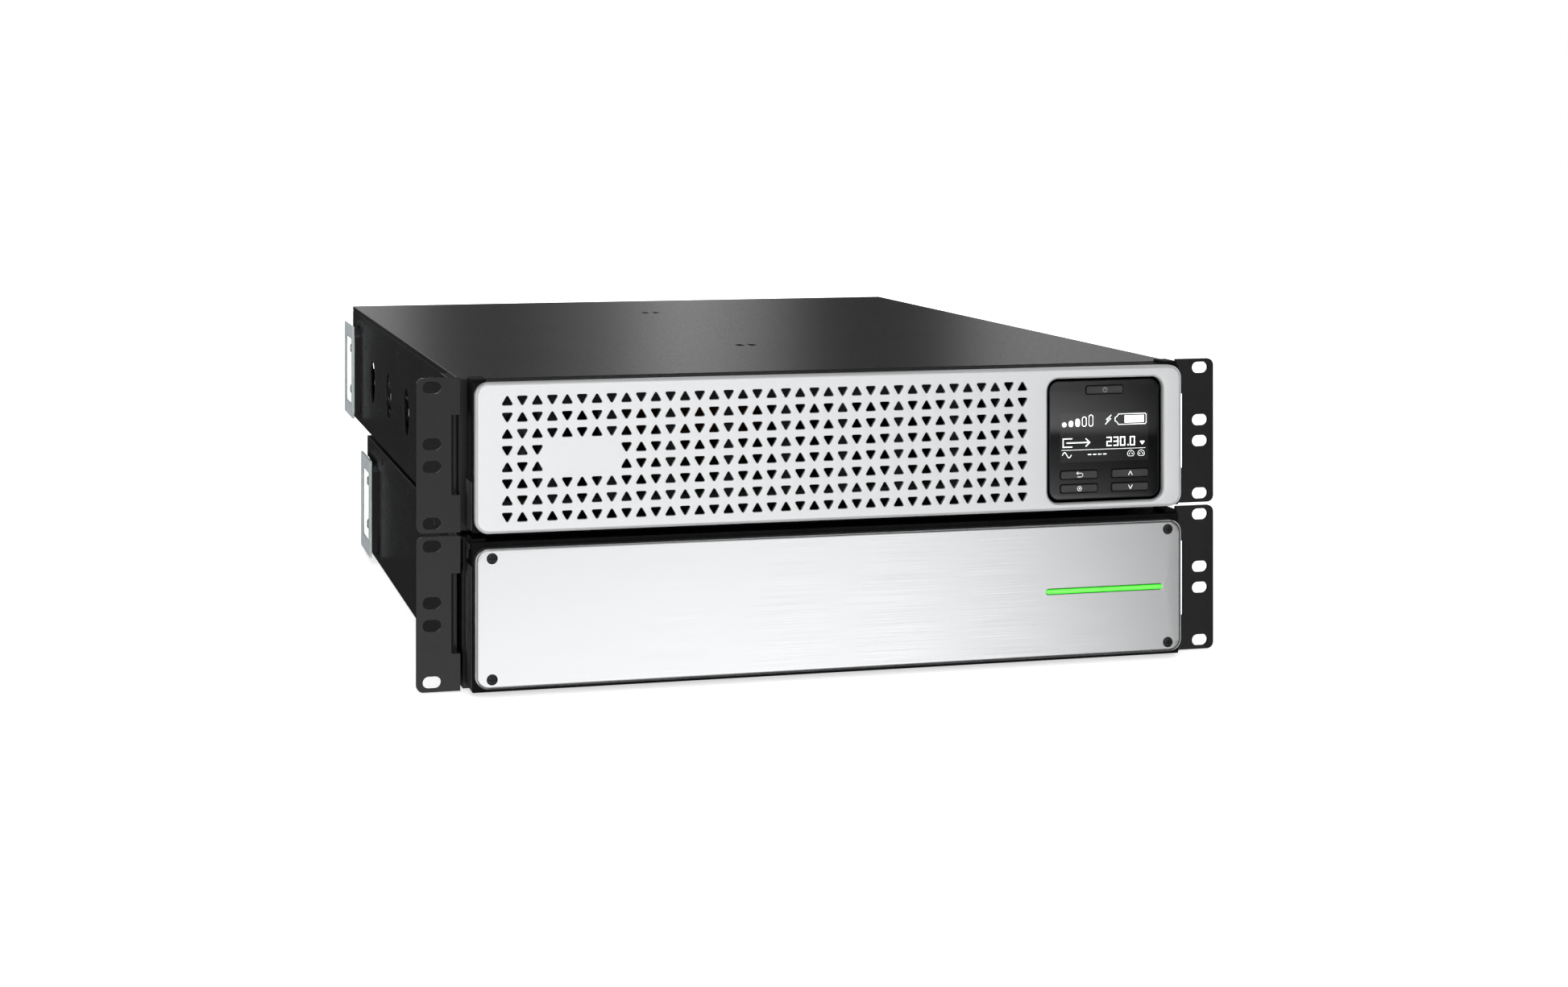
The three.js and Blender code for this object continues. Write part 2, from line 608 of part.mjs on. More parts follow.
// Comb-shaped extrusion with its fins towards the chassis side
function heatsink() {
  const { inner, outer, web, front, back, top } = HEATSINK;
  const fins = [];
  for (let z = FIN.first; z <= FIN.last; z += FIN.pitch) {
    fins.push(box(inner + web - 1, outer, front, back, z, z + FIN.thickness));
  }
  return join([box(inner, inner + web, front, back, ON_BOARD, top), ...fins]);
}

function transformer() {
  const { left, right, front, back, top } = CORE;
  const { inset, overhang } = WINDING;
  const winding = box(left + inset, right - inset, front - overhang, back + overhang, WINDING.foot,
    WINDING.top);
  return box(left, right, front, back, ON_BOARD, top).add(winding);
}

function fanFrame() {
  const half = FAN_SIZE / 2;
  const back = POWER_DEPTH - SHEET - GAP;
  const front = back - FAN_DEPTH;
  const shell = box(-half, half, front, back, -half, half);
  const duct = rodY(0, 0, FAN_DUCT_RADIUS, front - 1, back + 1, 24);
  const spokes = [0, 1, 2].map((index) => {
    const geometry = new THREE.BoxGeometry(FAN_DUCT_RADIUS + 1, FAN_SPOKE, FAN_SPOKE);
    geometry.translate((FAN_DUCT_RADIUS + 1) / 2, front + FAN_SPOKE / 2, 0);
    geometry.rotateY((index * 2 * Math.PI) / 3 + Math.PI / 2);
    return solidOf(geometry);
  });
  const mount = rodY(0, 0, FAN_HUB_RADIUS - 1, front, front + FAN_SPOKE, 20);
  return join([shell.subtract(duct), mount, ...spokes]);
}

function fanRotor() {
  const back = POWER_DEPTH - SHEET - GAP;
  const hub = rodY(0, 0, FAN_HUB_RADIUS, back - FAN_DEPTH + FAN_SPOKE + 0.4, back - 2, 20);
  const blades = [];
  for (let index = 0; index < FAN_BLADES; index++) {
    const geometry = new THREE.BoxGeometry(FAN_BLADE.length, FAN_BLADE.thickness, FAN_BLADE.width);
    geometry.rotateX(Math.PI / 4.5);
    geometry.translate(FAN_HUB_RADIUS + FAN_BLADE.length / 2 - 1, back - FAN_DEPTH / 2, 0);
    geometry.rotateY((index * 2 * Math.PI) / FAN_BLADES);
    blades.push(solidOf(geometry));
  }
  return join([hub, ...blades]);
}

function addPowerInside(group) {
  const { halfWidth, front, back, foot, top } = BOARD;
  add(group, "main_board", box(-halfWidth, halfWidth, front, back, foot, top), boardGreen);
  addPair(group, "heatsink", heatsink(), aluminium);
  add(group, "power_transformer", transformer(), coilCopper);
  CAPACITORS.ys.forEach((y, index) => {
    const can = rodZ(CAPACITORS.x, y, CAPACITORS.radius, ON_BOARD, CAPACITORS.top, 20);
    add(group, "bus_capacitor_" + (index + 1), can, packBlue);
  });
  for (const { side, x } of FANS) {
    const frame = add(group, "fan_frame_" + side, fanFrame(), blackPlastic);
    frame.position.set(x, 0, FAN_Z);
    const rotor = add(group, "fan_rotor_" + side, fanRotor(), blackPlastic);
    rotor.position.set(x, 0, FAN_Z);
  }
}

// ---- Rear panels and what they carry ----

function throughRear(x, z, width, height, rear) {
  return block(x, z, width, height, rear - PAST, rear + PAST);
}

function panelCutout(device, rear) {
  return throughRear(device.x, device.z, device.width + 2 * GAP, device.height + 2 * GAP, rear);
}

function rearPanel(halfWidth, rear, cutouts) {
  return cut(box(-halfWidth, halfWidth, rear - SHEET, rear, SHEET + GAP, COVER_UNDERSIDE - GAP), cutouts);
}

// A device pushed through its cut-out from outside, held by a flange
function panelDevice(width, height, depth, rear) {
  const body = block(0, 0, width, height, rear - depth, rear + 1);
  const { widthwise, heightwise } = FLANGE_RIM;
  return body.add(block(0, 0, width + 2 * widthwise, height + 2 * heightwise, rear + GAP, rear + FLANGE));
}

function powerRearPanel() {
  const rear = POWER_DEPTH;
  const upperBank = { ...OUTLETS, z: OUTLETS.upper };
  const lowerBank = { ...OUTLETS, z: OUTLETS.lower };
  const devices = [INLET, upperBank, lowerBank, PORTS, LEAD_SOCKET];
  const cardHole = throughRear(CARD_SLOT.x, CARD_SLOT.z, CARD_SLOT.width - 8, CARD_SLOT.height - 4, rear);
  const fanHoles = FANS.map(({ x }) => rodY(x, FAN_Z, FAN_DUCT_RADIUS, rear - PAST, rear + PAST, 24));
  const breakerHole = rodY(BREAKER.x, BREAKER.z, BREAKER.radius + GAP, rear - PAST, rear + PAST);
  const holes = [...devices.map((device) => panelCutout(device, rear)), cardHole, ...fanHoles, breakerHole];
  return rearPanel(HALF_WIDTH - SHEET - GAP, rear, holes);
}

// Mains inlet with three blades in its cavity
function mainsInlet() {
  const rear = POWER_DEPTH;
  const { width, height, depth } = INLET_CAVITY;
  const shell = panelDevice(INLET.width, INLET.height, INLET.depth, rear);
  const cavity = block(0, 0, width, height, rear - depth, rear + PAST);
  const blades = [-1, 0, 1].map((index) =>
    block(index * INLET_BLADE.pitch, INLET_BLADE.z, INLET_BLADE.width, INLET_BLADE.height,
      rear - depth - 1, rear - 2));
  return join([shell.subtract(cavity), ...blades]);
}

// Four outlets side by side, each a grooved tongue with three contact slots
function outletBank() {
  const rear = POWER_DEPTH;
  const { width, height, corner, depth } = OUTLET_RECESS;
  const contactSlot = (x, z) =>
    block(x, z, CONTACT_SLOT.width, CONTACT_SLOT.height, rear - depth, rear + PAST);
  const cutters = [];
  for (let index = 0; index < 4; index++) {
    const x = (index - 1.5) * OUTLET_PITCH;
    const recess = plate(roundedRect(x, 0, width, height, corner), rear - depth, rear + PAST, 1);
    const tongue = block(x, 0, OUTLET_TONGUE.width, OUTLET_TONGUE.height, rear - depth - 1, rear + 1);
    cutters.push(recess.subtract(tongue));
    cutters.push(contactSlot(x - CONTACT_SLOT.x, -1.5));
    cutters.push(contactSlot(x + CONTACT_SLOT.x, -1.5));
    cutters.push(contactSlot(x, 2));
  }
  return cut(panelDevice(OUTLETS.width, OUTLETS.height, OUTLETS.depth, rear), cutters);
}

// Two data sockets side by side and a narrow service port
function portBlock() {
  const rear = POWER_DEPTH;
  const socket = ({ width, height, depth }, x) => block(x, 0, width, height, rear - depth, rear + PAST);
  const sockets = DATA_SOCKET.xs.map((x) => socket(DATA_SOCKET, x));
  const cutters = [...sockets, socket(SERVICE_PORT, SERVICE_PORT.x)];
  return cut(panelDevice(PORTS.width, PORTS.height, PORTS.depth, rear), cutters);
}

// Two-pole battery connector
function leadSocket(rear) {
  const poles = [-1, 1].map((side) =>
    block(side * SOCKET_POLE.x, 0, SOCKET_POLE.width, SOCKET_POLE.height, rear - SOCKET_POLE.depth,
      rear + PAST));
  return cut(panelDevice(LEAD_SOCKET.width, LEAD_SOCKET.height, LEAD_SOCKET.depth, rear), poles);
}

// Panel-mounted breaker: a can behind the panel, a threaded neck through it and a nut outside
function breakerBody() {
  const rear = POWER_DEPTH;
  const neck = rodY(0, 0, BREAKER.radius, rear - SHEET - 2.5, rear + 3);
  const nut = rodY(0, 0, BREAKER.radius + 2, rear + GAP, rear + 2.4, 6);
  const can = block(0, 0, 16, 14, rear - BREAKER.depth, rear - SHEET - 1);
  return join([neck, nut, can]).subtract(rodY(0, 0, BREAKER.bore, rear - 14, rear + PAST));
}

function addPowerRear(group) {
  const rear = POWER_DEPTH;
  add(group, "power_rear_panel", powerRearPanel(), blackSteel);
  add(group, "power_inlet", mainsInlet(), blackPlastic).position.set(INLET.x, 0, INLET.z);
  add(group, "outlet_bank_upper", outletBank(), blackPlastic).position.set(OUTLETS.x, 0, OUTLETS.upper);
  add(group, "outlet_bank_lower", outletBank(), blackPlastic).position.set(OUTLETS.x, 0, OUTLETS.lower);
  add(group, "port_block", portBlock(), zincPlate).position.set(PORTS.x, 0, PORTS.z);
  add(group, "lead_socket", leadSocket(rear), blackPlastic).position.set(LEAD_SOCKET.x, 0, LEAD_SOCKET.z);
  add(group, "breaker_body", breakerBody(), blackPlastic).position.set(BREAKER.x, 0, BREAKER.z);
  const resetButton = rodY(0, 0, BREAKER.button, rear - 12, REAR_REACH);
  add(group, "breaker_button", resetButton, keyPlastic).position.set(BREAKER.x, 0, BREAKER.z);
  const slotCover = block(0, 0, CARD_SLOT.width, CARD_SLOT.height, rear + GAP, rear + FLANGE);
  add(group, "card_slot_cover", slotCover, blackSteel).position.set(CARD_SLOT.x, 0, CARD_SLOT.z);
}

// Battery disconnect: the lever turns in a slot of the body
function disconnectBody() {
  const rear = BATTERY_DEPTH;
  const { width, height, reach } = DISCONNECT_NOSE;
  const shell = panelDevice(DISCONNECT.width, DISCONNECT.height, DISCONNECT.depth, rear);
  const nose = block(0, 0, width, height, rear, rear + reach);
  const slot = block(0, 0, DISCONNECT_SLOT.width, DISCONNECT_SLOT.height, rear - DISCONNECT_SLOT.depth,
    rear + reach + PAST);
  return shell.add(nose).subtract(slot);
}

function disconnectLever() {
  const rear = BATTERY_DEPTH;
  const { width, reach, thickness, drumRadius, drumWidth, lean } = LEVER;
  const drum = rodX(rear, 0, drumRadius, -drumWidth / 2, drumWidth / 2, 24);
  const geometry = new THREE.BoxGeometry(width, reach, thickness);
  geometry.translate(0, drumRadius - 3.5 + reach / 2, 0);
  geometry.rotateX(lean);
  geometry.translate(0, rear, 0);
  return drum.add(solidOf(geometry));
}

function cellPack() {
  const { inner, outer, front, back, foot, top } = CELL_PACK;
  const { first, last, pitch, width, depth } = PACK_GROOVES;
  const grooves = [];
  for (let y = first; y <= last; y += pitch) {
    grooves.push(box(0, outer + PAST, y, y + width, top - depth, top + PAST));
  }
  return cut(box(inner, outer, front, back, foot, top), grooves);
}

function batteryRearPanel() {
  const rear = BATTERY_DEPTH;
  const holes = [PACK_SOCKET, DISCONNECT].map((device) => panelCutout(device, rear));
  for (let x = REAR_VENTS.first; x <= REAR_VENTS.last; x += REAR_VENTS.pitch) {
    holes.push(throughRear(x, REAR_VENTS.z, REAR_VENTS.width, REAR_VENTS.height, rear));
  }
  return rearPanel(HALF_WIDTH - 2 * SHEET - 2 * GAP, rear, holes);
}

function addBatteryRear(group) {
  add(group, "battery_rear_panel", batteryRearPanel(), blackSteel);
  const socket = add(group, "pack_socket", leadSocket(BATTERY_DEPTH), blackPlastic);
  socket.position.set(PACK_SOCKET.x, 0, PACK_SOCKET.z);
  const body = add(group, "disconnect_body", disconnectBody(), blackPlastic);
  body.position.set(DISCONNECT.x, 0, DISCONNECT.z);
  const lever = add(group, "disconnect_lever", disconnectLever(), keyPlastic);
  lever.position.set(DISCONNECT.x, 0, DISCONNECT.z);
}

// ---- The two modules ----

function powerModule() {
  const group = new THREE.Group();
  add(group, "power_base_tray", powerTray(), blackSteel);
  add(group, "power_top_cover", powerCover(), blackSteel);
  add(group, "power_bezel_frame", powerFrame(), blackPlastic);
  add(group, "power_bezel", bezel(), silver);
  addPair(group, "power_ear", rackEar(), earSteel);
  addPair(group, "power_bracket", rearBracket(HALF_WIDTH, POWER_DEPTH), zincPlate);
  const display = new THREE.Group();
  display.position.set(DISPLAY_X, 0, DISPLAY_Z);
  addDisplay(display);
  group.add(display);
  addPowerInside(group);
  addPowerRear(group);
  return group;
}

function batteryModule() {
  const group = new THREE.Group();
  const trayHalf = HALF_WIDTH - SHEET - GAP;
  add(group, "battery_base_tray", batteryTray(), blackSteel);
  add(group, "battery_top_cover", batteryCover(), blackSteel);
  add(group, "battery_bezel_frame", batteryFrame(), blackPlastic);
  add(group, "battery_front_plate", batteryPlate(), brushedPlate);
  add(group, "light_bar", lightBar(), greenLight).position.set(LIGHT_BAR.x, 0, LIGHT_BAR.z);
  for (const { name, x, z } of screwPlaces()) {
    add(group, "plate_screw_" + name, plateScrew(), screwSteel).position.set(x, 0, z);
  }
  addPair(group, "battery_ear", rackEar(), earSteel);
  addPair(group, "battery_bracket", rearBracket(trayHalf, BATTERY_DEPTH), zincPlate);
  addPair(group, "cell_pack", cellPack(), packBlue);
  const { left, right, front, back, foot, top } = MONITOR_BOARD;
  add(group, "cell_monitor_board", box(left, right, front, back, foot, top), boardGreen);
  addBatteryRear(group);
  return group;
}

const ups = new THREE.Group();
const battery = batteryModule();
const power = powerModule();
power.position.z = MODULE_PITCH;
const strip = box(STRIP.inner, STRIP.outer, STRIP.front, STRIP.back, CHASSIS_HEIGHT + GAP,
  MODULE_PITCH - GAP);
addPair(ups, "stacking_strip", strip, rubber);
ups.add(battery, power);
ups.position.y = (FRONT_REACH - REAR_REACH) / 2;

const group = new THREE.Group();
group.add(ups);

export default group;
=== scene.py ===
import json
import math

import bmesh
import bpy
from mathutils import Matrix, Vector
from mathutils.geometry import delaunay_2d_cdt


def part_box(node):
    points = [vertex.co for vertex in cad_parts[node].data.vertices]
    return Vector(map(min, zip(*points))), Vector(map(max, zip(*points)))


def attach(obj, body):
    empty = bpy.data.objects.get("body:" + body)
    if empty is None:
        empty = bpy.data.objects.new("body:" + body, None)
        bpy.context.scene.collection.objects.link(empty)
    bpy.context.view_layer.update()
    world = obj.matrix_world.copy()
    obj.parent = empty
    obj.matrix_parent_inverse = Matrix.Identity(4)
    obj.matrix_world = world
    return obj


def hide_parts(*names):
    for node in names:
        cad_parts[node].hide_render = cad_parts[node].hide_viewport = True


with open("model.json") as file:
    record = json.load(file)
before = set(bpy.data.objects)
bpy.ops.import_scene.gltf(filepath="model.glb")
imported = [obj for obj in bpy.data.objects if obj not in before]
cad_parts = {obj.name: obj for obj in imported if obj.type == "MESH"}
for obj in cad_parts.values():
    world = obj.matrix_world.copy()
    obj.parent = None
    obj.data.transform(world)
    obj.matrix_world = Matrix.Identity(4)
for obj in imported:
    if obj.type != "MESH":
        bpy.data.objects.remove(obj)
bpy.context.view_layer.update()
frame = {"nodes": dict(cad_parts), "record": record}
NODES = frame["nodes"]
SLOT_OF = {part["node"]: part["material_slot"] for part in frame["record"]["subparts"]}

# Pieces are drawn in millimetres: x from the middle, y from the front face of the ears, z from the
# underside of their module.
MM = 0.001
EAR_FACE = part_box("power_ear_left")[0].y
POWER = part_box("power_base_tray")[0].z
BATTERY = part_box("battery_base_tray")[0].z
HALF_WIDTH = 216.3  # sides of the power module and of the battery module's cover
TRAY_HALF_WIDTH = 214.5  # sides of the battery module's tray
EAR_HALF_WIDTH = 218.7  # outside of an ear's side leg
POWER_REAR = 607
BATTERY_REAR = 499
FACE = -22  # front of the bezel and of the battery fascia
SHEET_BACK = -19.8
RIM_BACK = -15.3
DISPLAY_X = 162.6
DISPLAY_Z = 42.7
GLASS_FRONT = -19.5
GLASS_BACK = -18.5
KEY_FRONT = -20.6
CLEARANCE = 0.05  # between a piece and the surface that it sits on


# ---------------------------------------------------------------- materials

COAT_ROUGHNESS = 0.02
ZINC = ((0.64, 0.7, 0.71), (0.74, 0.8, 0.81))
# Painted shade: the black that stands for the shade on the brackets' legs
LEG_SHADE_BLACK = (0.01, 0.01, 0.011)


class Finish:
    """A material whose colour, roughness and bump come from noise or cells in the piece's own space."""

    def __init__(self, name, roughness=0.4, metallic=0.0, specular=0.5, coat=0.0):
        self.material = bpy.data.materials.new(name)
        self.material.use_nodes = True
        self.tree = self.material.node_tree
        self.shader = self.tree.nodes["Principled BSDF"]
        self.shader.inputs["Roughness"].default_value = roughness
        self.shader.inputs["Metallic"].default_value = metallic
        self.shader.inputs["Specular IOR Level"].default_value = specular
        self.shader.inputs["Coat Weight"].default_value = coat
        self.shader.inputs["Coat Roughness"].default_value = COAT_ROUGHNESS
        self.space = self.node("ShaderNodeTexCoord").outputs["Object"]

    def node(self, kind, **values):
        made = self.tree.nodes.new(kind)
        for key, value in values.items():
            setattr(made, key, value)
        return made

    def link(self, source, target):
        self.tree.links.new(source, target)

    def noise(self, scale, detail=3.0, stretch=(1, 1, 1)):
        mapping = self.node("ShaderNodeMapping")
        mapping.inputs["Scale"].default_value = stretch
        self.link(self.space, mapping.inputs["Vector"])
        made = self.node("ShaderNodeTexNoise")
        made.inputs["Scale"].default_value = scale
        made.inputs["Detail"].default_value = detail
        self.link(mapping.outputs["Vector"], made.inputs["Vector"])
        return made.outputs["Fac"]

    def cells(self, scale, feature="F1"):
        made = self.node("ShaderNodeTexVoronoi", feature=feature)
        made.inputs["Scale"].default_value = scale
        self.link(self.space, made.inputs["Vector"])
        return made

    def axis(self, letter):
        split = self.node("ShaderNodeSeparateXYZ")
        self.link(self.space, split.inputs["Vector"])
        return split.outputs[letter]

    def compute(self, operation, value, number=0.0):
        made = self.node("ShaderNodeMath", operation=operation)
        self.link(value, made.inputs[0])
        made.inputs[1].default_value = number
        return made.outputs["Value"]

    def spread(self, value, start, end, low, high):
        made = self.node("ShaderNodeMapRange")
        for key, number in (("From Min", start), ("From Max", end), ("To Min", low), ("To Max", high)):
            made.inputs[key].default_value = number
        self.link(value, made.inputs["Value"])
        return made.outputs["Result"]

    def colour(self, fac, low, high, start=0.35, end=0.65):
        ramp = self.node("ShaderNodeValToRGB")
        ramp.color_ramp.elements[0].position = start
        ramp.color_ramp.elements[0].color = (*low, 1)
        ramp.color_ramp.elements[1].position = end
        ramp.color_ramp.elements[1].color = (*high, 1)
        self.link(fac, ramp.inputs["Fac"])
        self.link(ramp.outputs["Color"], self.shader.inputs["Base Color"])
        return ramp.outputs["Color"]

    def roughen(self, fac, low, high):
        self.link(self.spread(fac, 0.3, 0.7, low, high), self.shader.inputs["Roughness"])

    def bump(self, fac, strength, distance):
        made = self.node("ShaderNodeBump")
        made.inputs["Strength"].default_value = strength
        made.inputs["Distance"].default_value = distance
        self.link(fac, made.inputs["Height"])
        self.link(made.outputs["Normal"], self.shader.inputs["Normal"])


def grey(value):
    """A grey with a trace of blue."""
    return (value, value, value * 1.03)


def powder_coat(name, low, high, roughness, specular=0.5, grain=900, depth=0.00012):
    """Black powder coat with a fine grain."""
    finish = Finish(name, specular=specular)
    finish.colour(finish.noise(14, 4), grey(low), grey(high))
    finish.roughen(finish.noise(500, 2), roughness - 0.02, roughness + 0.03)
    finish.bump(finish.noise(grain, 2), 0.12, depth)
    return finish.material


def moulding(name, low, high, roughness, specular=0.4, grain=1500, depth=0.0002):
    """Moulded plastic or rubber with a spark-eroded texture."""
    finish = Finish(name, specular=specular)
    speckle = finish.cells(grain)
    finish.colour(finish.noise(70, 5), grey(low), grey(high))
    finish.roughen(finish.noise(260, 3), roughness - 0.05, roughness + 0.08)
    finish.bump(speckle.outputs["Distance"], 0.5, depth)
    return finish.material


def brushed(name, low, high, roughness, stretch, metallic=1.0):
    """Metal with fine lines along x, or however the noise is stretched."""
    finish = Finish(name, metallic=metallic)
    lines = finish.noise(60, 4, stretch)
    finish.colour(lines, low, high, 0.3, 0.7)
    finish.roughen(lines, roughness - 0.04, roughness + 0.06)
    finish.bump(lines, 0.08, 0.00003)
    return finish.material


def satin(name, low, high, roughness, metallic):
    """Sprayed metallic paint: even to the eye, with a very fine fleck."""
    finish = Finish(name, metallic=metallic)
    finish.colour(finish.noise(1400, 2), low, high, 0.3, 0.7)
    finish.roughen(finish.noise(900, 2), roughness - 0.02, roughness + 0.03)
    finish.bump(finish.noise(2200, 2), 0.06, 0.00003)
    return finish.material


def cast_metal(name, low, high, roughness, scale, metallic=1.0):
    """Plated or bare metal with a faint spangle."""
    finish = Finish(name, metallic=metallic)
    spangle = finish.cells(scale)
    finish.colour(spangle.outputs["Color"], low, high, 0.1, 0.9)
    finish.roughen(finish.noise(scale * 0.6, 4), roughness - 0.06, roughness + 0.08)
    finish.bump(finish.noise(scale * 2, 3), 0.12, 0.00005)
    return finish.material


def bracket_leg_shade_finish(name, leg):
    """Bright zinc, with painted shade: black on the leg, which lies within the given distance of the middle.
    """
    finish = Finish(name, metallic=0.3)
    zinc = finish.colour(finish.cells(240).outputs["Color"], *ZINC, 0.1, 0.9)
    # Painted shade: black over the zinc on the leg, chosen by distance from the middle
    leg_in_shade = finish.compute("LESS_THAN", finish.compute("ABSOLUTE", finish.axis("X")), leg)
    paint = finish.node("ShaderNodeMix", data_type="RGBA")
    paint.inputs["B"].default_value = (*LEG_SHADE_BLACK, 1)
    finish.link(leg_in_shade, paint.inputs["Factor"])
    finish.link(zinc, paint.inputs["A"])
    finish.link(paint.outputs["Result"], finish.shader.inputs["Base Color"])
    finish.roughen(finish.noise(150, 4), 0.3, 0.44)
    finish.bump(finish.noise(480, 3), 0.12, 0.00005)
    return finish.material


def board_finish(name):
    """Green solder mask with lighter tracks."""
    finish = Finish(name, roughness=0.4, coat=0.3)
    tracks = finish.cells(160, "DISTANCE_TO_EDGE")
    finish.colour(tracks.outputs["Distance"], (0.03, 0.15, 0.06), (0.008, 0.06, 0.022), 0.02, 0.06)
    finish.roughen(finish.noise(300), 0.3, 0.5)
    finish.bump(tracks.outputs["Distance"], 0.3, 0.0002)
    return finish.material


def winding_finish(name):
    """Copper wire in close turns."""
    finish = Finish(name, metallic=0.6)
    turns = finish.noise(40, 2, (1, 1, 60))
    finish.colour(turns, (0.12, 0.045, 0.015), (0.42, 0.19, 0.07))
    finish.roughen(turns, 0.3, 0.5)
    finish.bump(turns, 0.6, 0.0006)
    return finish.material


def wrap_finish(name, low, high):
    """Slightly wrinkled shrink wrap."""
    finish = Finish(name, coat=0.4)
    finish.colour(finish.noise(18, 4), low, high)
    finish.roughen(finish.noise(120, 3), 0.22, 0.4)
    finish.bump(finish.noise(45, 5), 0.35, 0.0012)
    return finish.material


def gloss_finish(name, low, high, roughness):
    """Polished dark glass or acrylic."""
    finish = Finish(name, roughness=roughness, coat=0.6)
    finish.colour(finish.noise(25, 3), grey(low), grey(high))
    finish.roughen(finish.noise(90, 4), roughness, roughness * 1.4)
    finish.bump(finish.noise(12, 1), 0.012, 0.0001)
    return finish.material


def lit_ink(name, colour, strength):
    """Printed or lit marks."""
    finish = Finish(name, roughness=0.15, coat=0.5)
    finish.colour(finish.noise(900, 2), tuple(c * 0.86 for c in colour), colour)
    finish.roughen(finish.noise(400), 0.12, 0.2)
    finish.shader.inputs["Emission Color"].default_value = (*colour, 1)
    finish.shader.inputs["Emission Strength"].default_value = strength
    return finish.material


def lamp_finish(name, middle, half_height):
    """A lit green lens, brightest along its middle line."""
    finish = Finish(name, roughness=0.2, coat=0.8)
    away = finish.compute("ABSOLUTE", finish.compute("SUBTRACT", finish.axis("Z"), middle))
    edge = finish.spread(away, 0, half_height, 0, 1)
    green = finish.colour(edge, (0.11, 0.98, 0.06), (0.015, 0.3, 0.01), 0.35, 0.95)
    finish.link(green, finish.shader.inputs["Emission Color"])
    finish.shader.inputs["Emission Strength"].default_value = 0.75
    finish.roughen(finish.noise(300), 0.18, 0.26)
    finish.bump(finish.noise(500), 0.06, 0.00005)
    return finish.material


LAMP_Z = 43.3
LAMP_RADIUS = 1.5  # half the height of the light bar
FINISHES = {
    "coated_steel": powder_coat("Coated_steel", 0.01, 0.013, 0.29, 0.4),
    "ear_steel": powder_coat("Ear_steel", 0.005, 0.007, 0.2, 0.5, 1100, 0.0001),
    "silver_panel": satin("Silver_panel", (0.86, 0.87, 0.88), (0.89, 0.9, 0.91), 0.33, 0.65),
    "brushed_panel": brushed("Brushed_panel", (0.86, 0.87, 0.88), (0.9, 0.91, 0.92), 0.2,
                             (0.25, 1, 45), 0.95),
    "black_plastic": moulding("Black_plastic", 0.002, 0.004, 0.5, 0.15),
    "gloss_black": gloss_finish("Gloss_black", 0.004, 0.006, 0.018),
    "key_plastic": moulding("Key_plastic", 0.028, 0.036, 0.34, 0.5, 2600, 0.00005),
    "zinc_plate": cast_metal("Zinc_plate", *ZINC, 0.36, 240, 0.3),
    "screw_steel": brushed("Screw_steel", (0.022, 0.022, 0.024), (0.045, 0.045, 0.048), 0.36,
                           (1, 1, 6), 0.7),
    "green_light": lamp_finish("Green_light", BATTERY + LAMP_Z * MM, LAMP_RADIUS * MM),
    "circuit_board": board_finish("Circuit_board"),
    "aluminium_fins": brushed("Aluminium_fins", (0.5, 0.51, 0.52), (0.66, 0.67, 0.68), 0.35,
                              (1, 0.05, 30)),
    "strip_rubber": moulding("Strip_rubber", 0.008, 0.016, 0.75, 0.3, 700),
    "lcd_glass": gloss_finish("Lcd_glass", 0.012, 0.018, 0.04),
    "cell_wrap": wrap_finish("Cell_wrap", (0.02, 0.06, 0.14), (0.035, 0.1, 0.22)),
    "wound_core": winding_finish("Wound_core"),
    "port_shell": cast_metal("Port_shell", (0.52, 0.52, 0.53), (0.62, 0.62, 0.63), 0.25, 500),
    "capacitor_can": wrap_finish("Capacitor_can", (0.01, 0.018, 0.045), (0.02, 0.03, 0.07)),
}
INK_WHITE = lit_ink("Screen_white", (0.9, 0.92, 0.93), 0.85)
INK_GREY = lit_ink("Key_mark_grey", (0.4, 0.41, 0.42), 0.12)
INK_LIGHT = lit_ink("Key_mark_light", (0.75, 0.76, 0.77), 0.3)
SCREEN_DARK = gloss_finish("Screen_dark", 0.012, 0.018, 0.02)
BRASS = cast_metal("Contact_brass", (0.6, 0.43, 0.18), (0.75, 0.56, 0.26), 0.25, 900)
BRIGHT_STEEL = cast_metal("Bright_steel", (0.5, 0.51, 0.52), (0.62, 0.63, 0.64), 0.22, 700)
RIB_BLACK = moulding("Rib_black", 0.018, 0.032, 0.5, 0.5, 900)
TERMINAL_BLACK = moulding("Terminal_black", 0.02, 0.03, 0.4)


# ---------------------------------------------------------------- shapes

SHARP_ANGLE = math.radians(38)


def rounded(centres, radius, steps):
    """A closed convex loop that stays a radius away from its centres, which run anticlockwise."""
    count = len(centres)
    if count == 1:
        turns = [(0, 0, 2 * math.pi * (1 - 1 / (4 * steps)), 4 * steps - 1)]
    else:
        turns = []
        for i, (x, z) in enumerate(centres):
            before, after = centres[i - 1], centres[(i + 1) % count]
            start = math.atan2(z - before[1], x - before[0]) - math.pi / 2
            end = math.atan2(after[1] - z, after[0] - x) - math.pi / 2
            while end < start - 1e-9:
                end += 2 * math.pi
            turns.append((i, start, end, steps if count > 2 else 2 * steps))
    points = []
    for i, start, end, parts in turns:
        for k in range(parts + 1):
            angle = start + (end - start) * k / parts
            x, z = centres[i]
            points.append((x + radius * math.cos(angle), z + radius * math.sin(angle)))
    return points


def bar(x, z, width, height, radius):
    """A rounded rectangle round x and z, as the centres of its corners and their radius."""
    dx, dz = width / 2 - radius, height / 2 - radius
    return [(x - dx, z - dz), (x + dx, z - dz), (x + dx, z + dz), (x - dx, z + dz)], radius


def inside(ring, point):
    """Whether a point lies in a closed loop, by counting the edges to its right."""
    crossings = 0
    for (x0, z0), (x1, z1) in zip(ring, ring[1:] + ring[:1]):
        if (z0 > point.y) != (z1 > point.y):
            crossings += point.x < x0 + (point.y - z0) * (x1 - x0) / (z1 - z0)
    return crossings % 2 == 1


